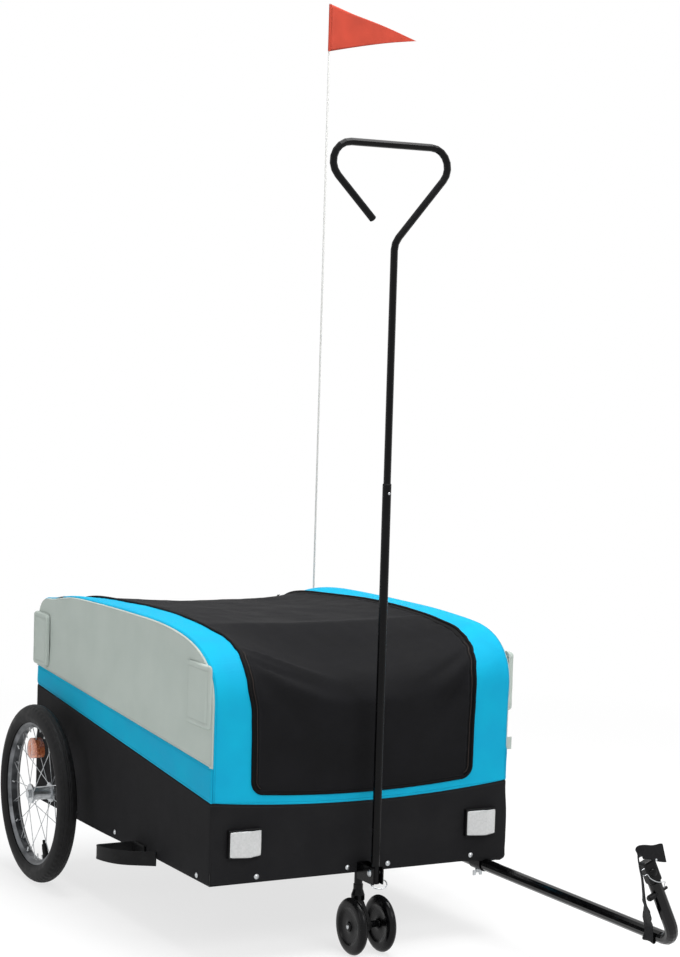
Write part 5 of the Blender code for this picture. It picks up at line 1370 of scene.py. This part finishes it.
def frame_finishes():
    for finish_name, names in FINISHES.items():
        for name in names:
            nodes[name].material_slots[0].material = MATERIALS[finish_name]


# Camera, floor and lights

# The picture's height and the focal length are in pixels, the distance in metres
PICTURE_HEIGHT = 957
FOCAL_PIXELS = 2219.9
DISTANCE = 4.434
SENSOR = 36


def camera():
    """The photograph's view: from 29 degrees left of the front, 3.5 degrees down, a long lens."""
    azimuth, pitch, roll = (math.radians(a) for a in (28.90, 3.53, 1.69))
    back = Vector((-math.sin(azimuth) * math.cos(pitch), -math.cos(azimuth) * math.cos(pitch), math.sin(pitch)))
    eye = ORIGIN + Vector((-0.0784, 0, 0.9651)) + back * DISTANCE
    right = (-back).cross(Vector((0, 0, 1))).normalized()
    up = right.cross(-back)
    across = right * math.cos(roll) + up * math.sin(roll)
    upward = up * math.cos(roll) - right * math.sin(roll)
    optics = bpy.data.cameras.new("camera")
    optics.sensor_fit = "VERTICAL"
    optics.sensor_height = SENSOR
    optics.lens = FOCAL_PIXELS * SENSOR / PICTURE_HEIGHT
    optics.clip_end = 200
    view = bpy.data.objects.new("camera", optics)
    view.matrix_world = Matrix.Translation(eye) @ Matrix((across, upward, back)).transposed().to_4x4()
    bpy.context.scene.collection.objects.link(view)
    bpy.context.scene.camera = view


ROOM_LIGHT = 0.55
FLOOR_GLOW = 0.72
FLOOR_HALF = 60
LAMPS = (
    # name, place, aim, size in metres, watts
    ("top_softbox", (0.2, -0.1, 3.5), (0.0, 0.1, 0.5), (2.0, 2.0), 118),
    ("front_softbox", (0.3, -3.5, 3.3), (0.0, 0.0, 0.5), (2.6, 1.6), 66),
    ("left_softbox", (-4.0, 0.4, 1.6), (0.0, 0.4, 0.4), (1.4, 1.4), 15),
)


def seen_directly(tree):
    """1 for rays from the camera, and for those reflected by gloss or passed by glass."""
    rays = add(tree, "LightPath", {}, "Is Camera Ray")
    path = rays.node.outputs
    both = add(tree, "Math", {0: rays, 1: path["Is Glossy Ray"]}, operation="MAXIMUM")
    return add(tree, "Math", {0: both, 1: path["Is Transmission Ray"]}, operation="MAXIMUM")


def room():
    """White all round: full white to the camera, and softer as a light."""
    scene = bpy.context.scene
    scene.view_settings.view_transform = "Standard"
    world = bpy.data.worlds.new("white_room")
    world.use_nodes = True
    scene.world = world
    tree = world.node_tree
    strength = add(tree, "MapRange", {"Value": seen_directly(tree), "To Min": ROOM_LIGHT, "To Max": 1.0})
    background = tree.nodes["Background"]
    background.inputs["Color"].default_value = (1, 1, 1, 1)
    tree.links.new(strength, background.inputs["Strength"])


def studio_floor():
    """A white floor that keeps the shadow near the trailer and fades into the room further off."""
    corners = [(x, y, 0) for x in (-FLOOR_HALF, FLOOR_HALF) for y in (-FLOOR_HALF, FLOOR_HALF)]
    mesh = new_mesh("studio_floor", corners, [(0, 2, 3, 1)])
    floor = bpy.data.objects.new("studio_floor", mesh)
    bpy.context.scene.collection.objects.link(floor)
    material, tree, place = begin("matt_white_floor")
    finish(material, Base_Color=linear("F4F4F4"), Roughness=0.9, Specular_IOR_Level=0.1)
    glow = add(tree, "Emission", {"Color": (1, 1, 1, 1), "Strength": 1.0})
    away = add(tree, "VectorMath", {0: place}, "Value", operation="LENGTH")
    glow_share = add(tree, "MapRange", {"Value": away, "From Min": 1.5, "From Max": 3.4,
                                        "To Min": FLOOR_GLOW, "To Max": 1.0})
    share = add(tree, "Math", {0: seen_directly(tree), 1: glow_share}, operation="MULTIPLY")
    mixed = add(tree, "MixShader", {0: share, 1: tree.nodes["Principled BSDF"].outputs[0], 2: glow})
    tree.links.new(mixed, tree.nodes["Material Output"].inputs["Surface"])
    mesh.materials.append(material)


def lamps():
    for name, place, target, size, power in LAMPS:
        lamp = bpy.data.lights.new(name, "AREA")
        lamp.shape = "RECTANGLE"
        lamp.size, lamp.size_y = size
        lamp.energy = power
        item = bpy.data.objects.new(name, lamp)
        item.location = place
        item.rotation_euler = (Vector(target) - Vector(place)).to_track_quat("-Z", "Y").to_euler()
        bpy.context.scene.collection.objects.link(item)


blue_shell()
blue_rear()
for side, side_name in SIDES:
    grey_side(side, side_name)
    blue_side(side, side_name)
black_skirt()
cover_cloth()
zips()
piping()
bumpers()
flaps()
for side, side_name in SIDES:
    lens(side, side_name)
rivets()
wheels()
castor_wheels()
handle_details()
safety_webbing()
hitch_details()
pennant()
frame_finishes()
camera()
room()
studio_floor()
lamps()
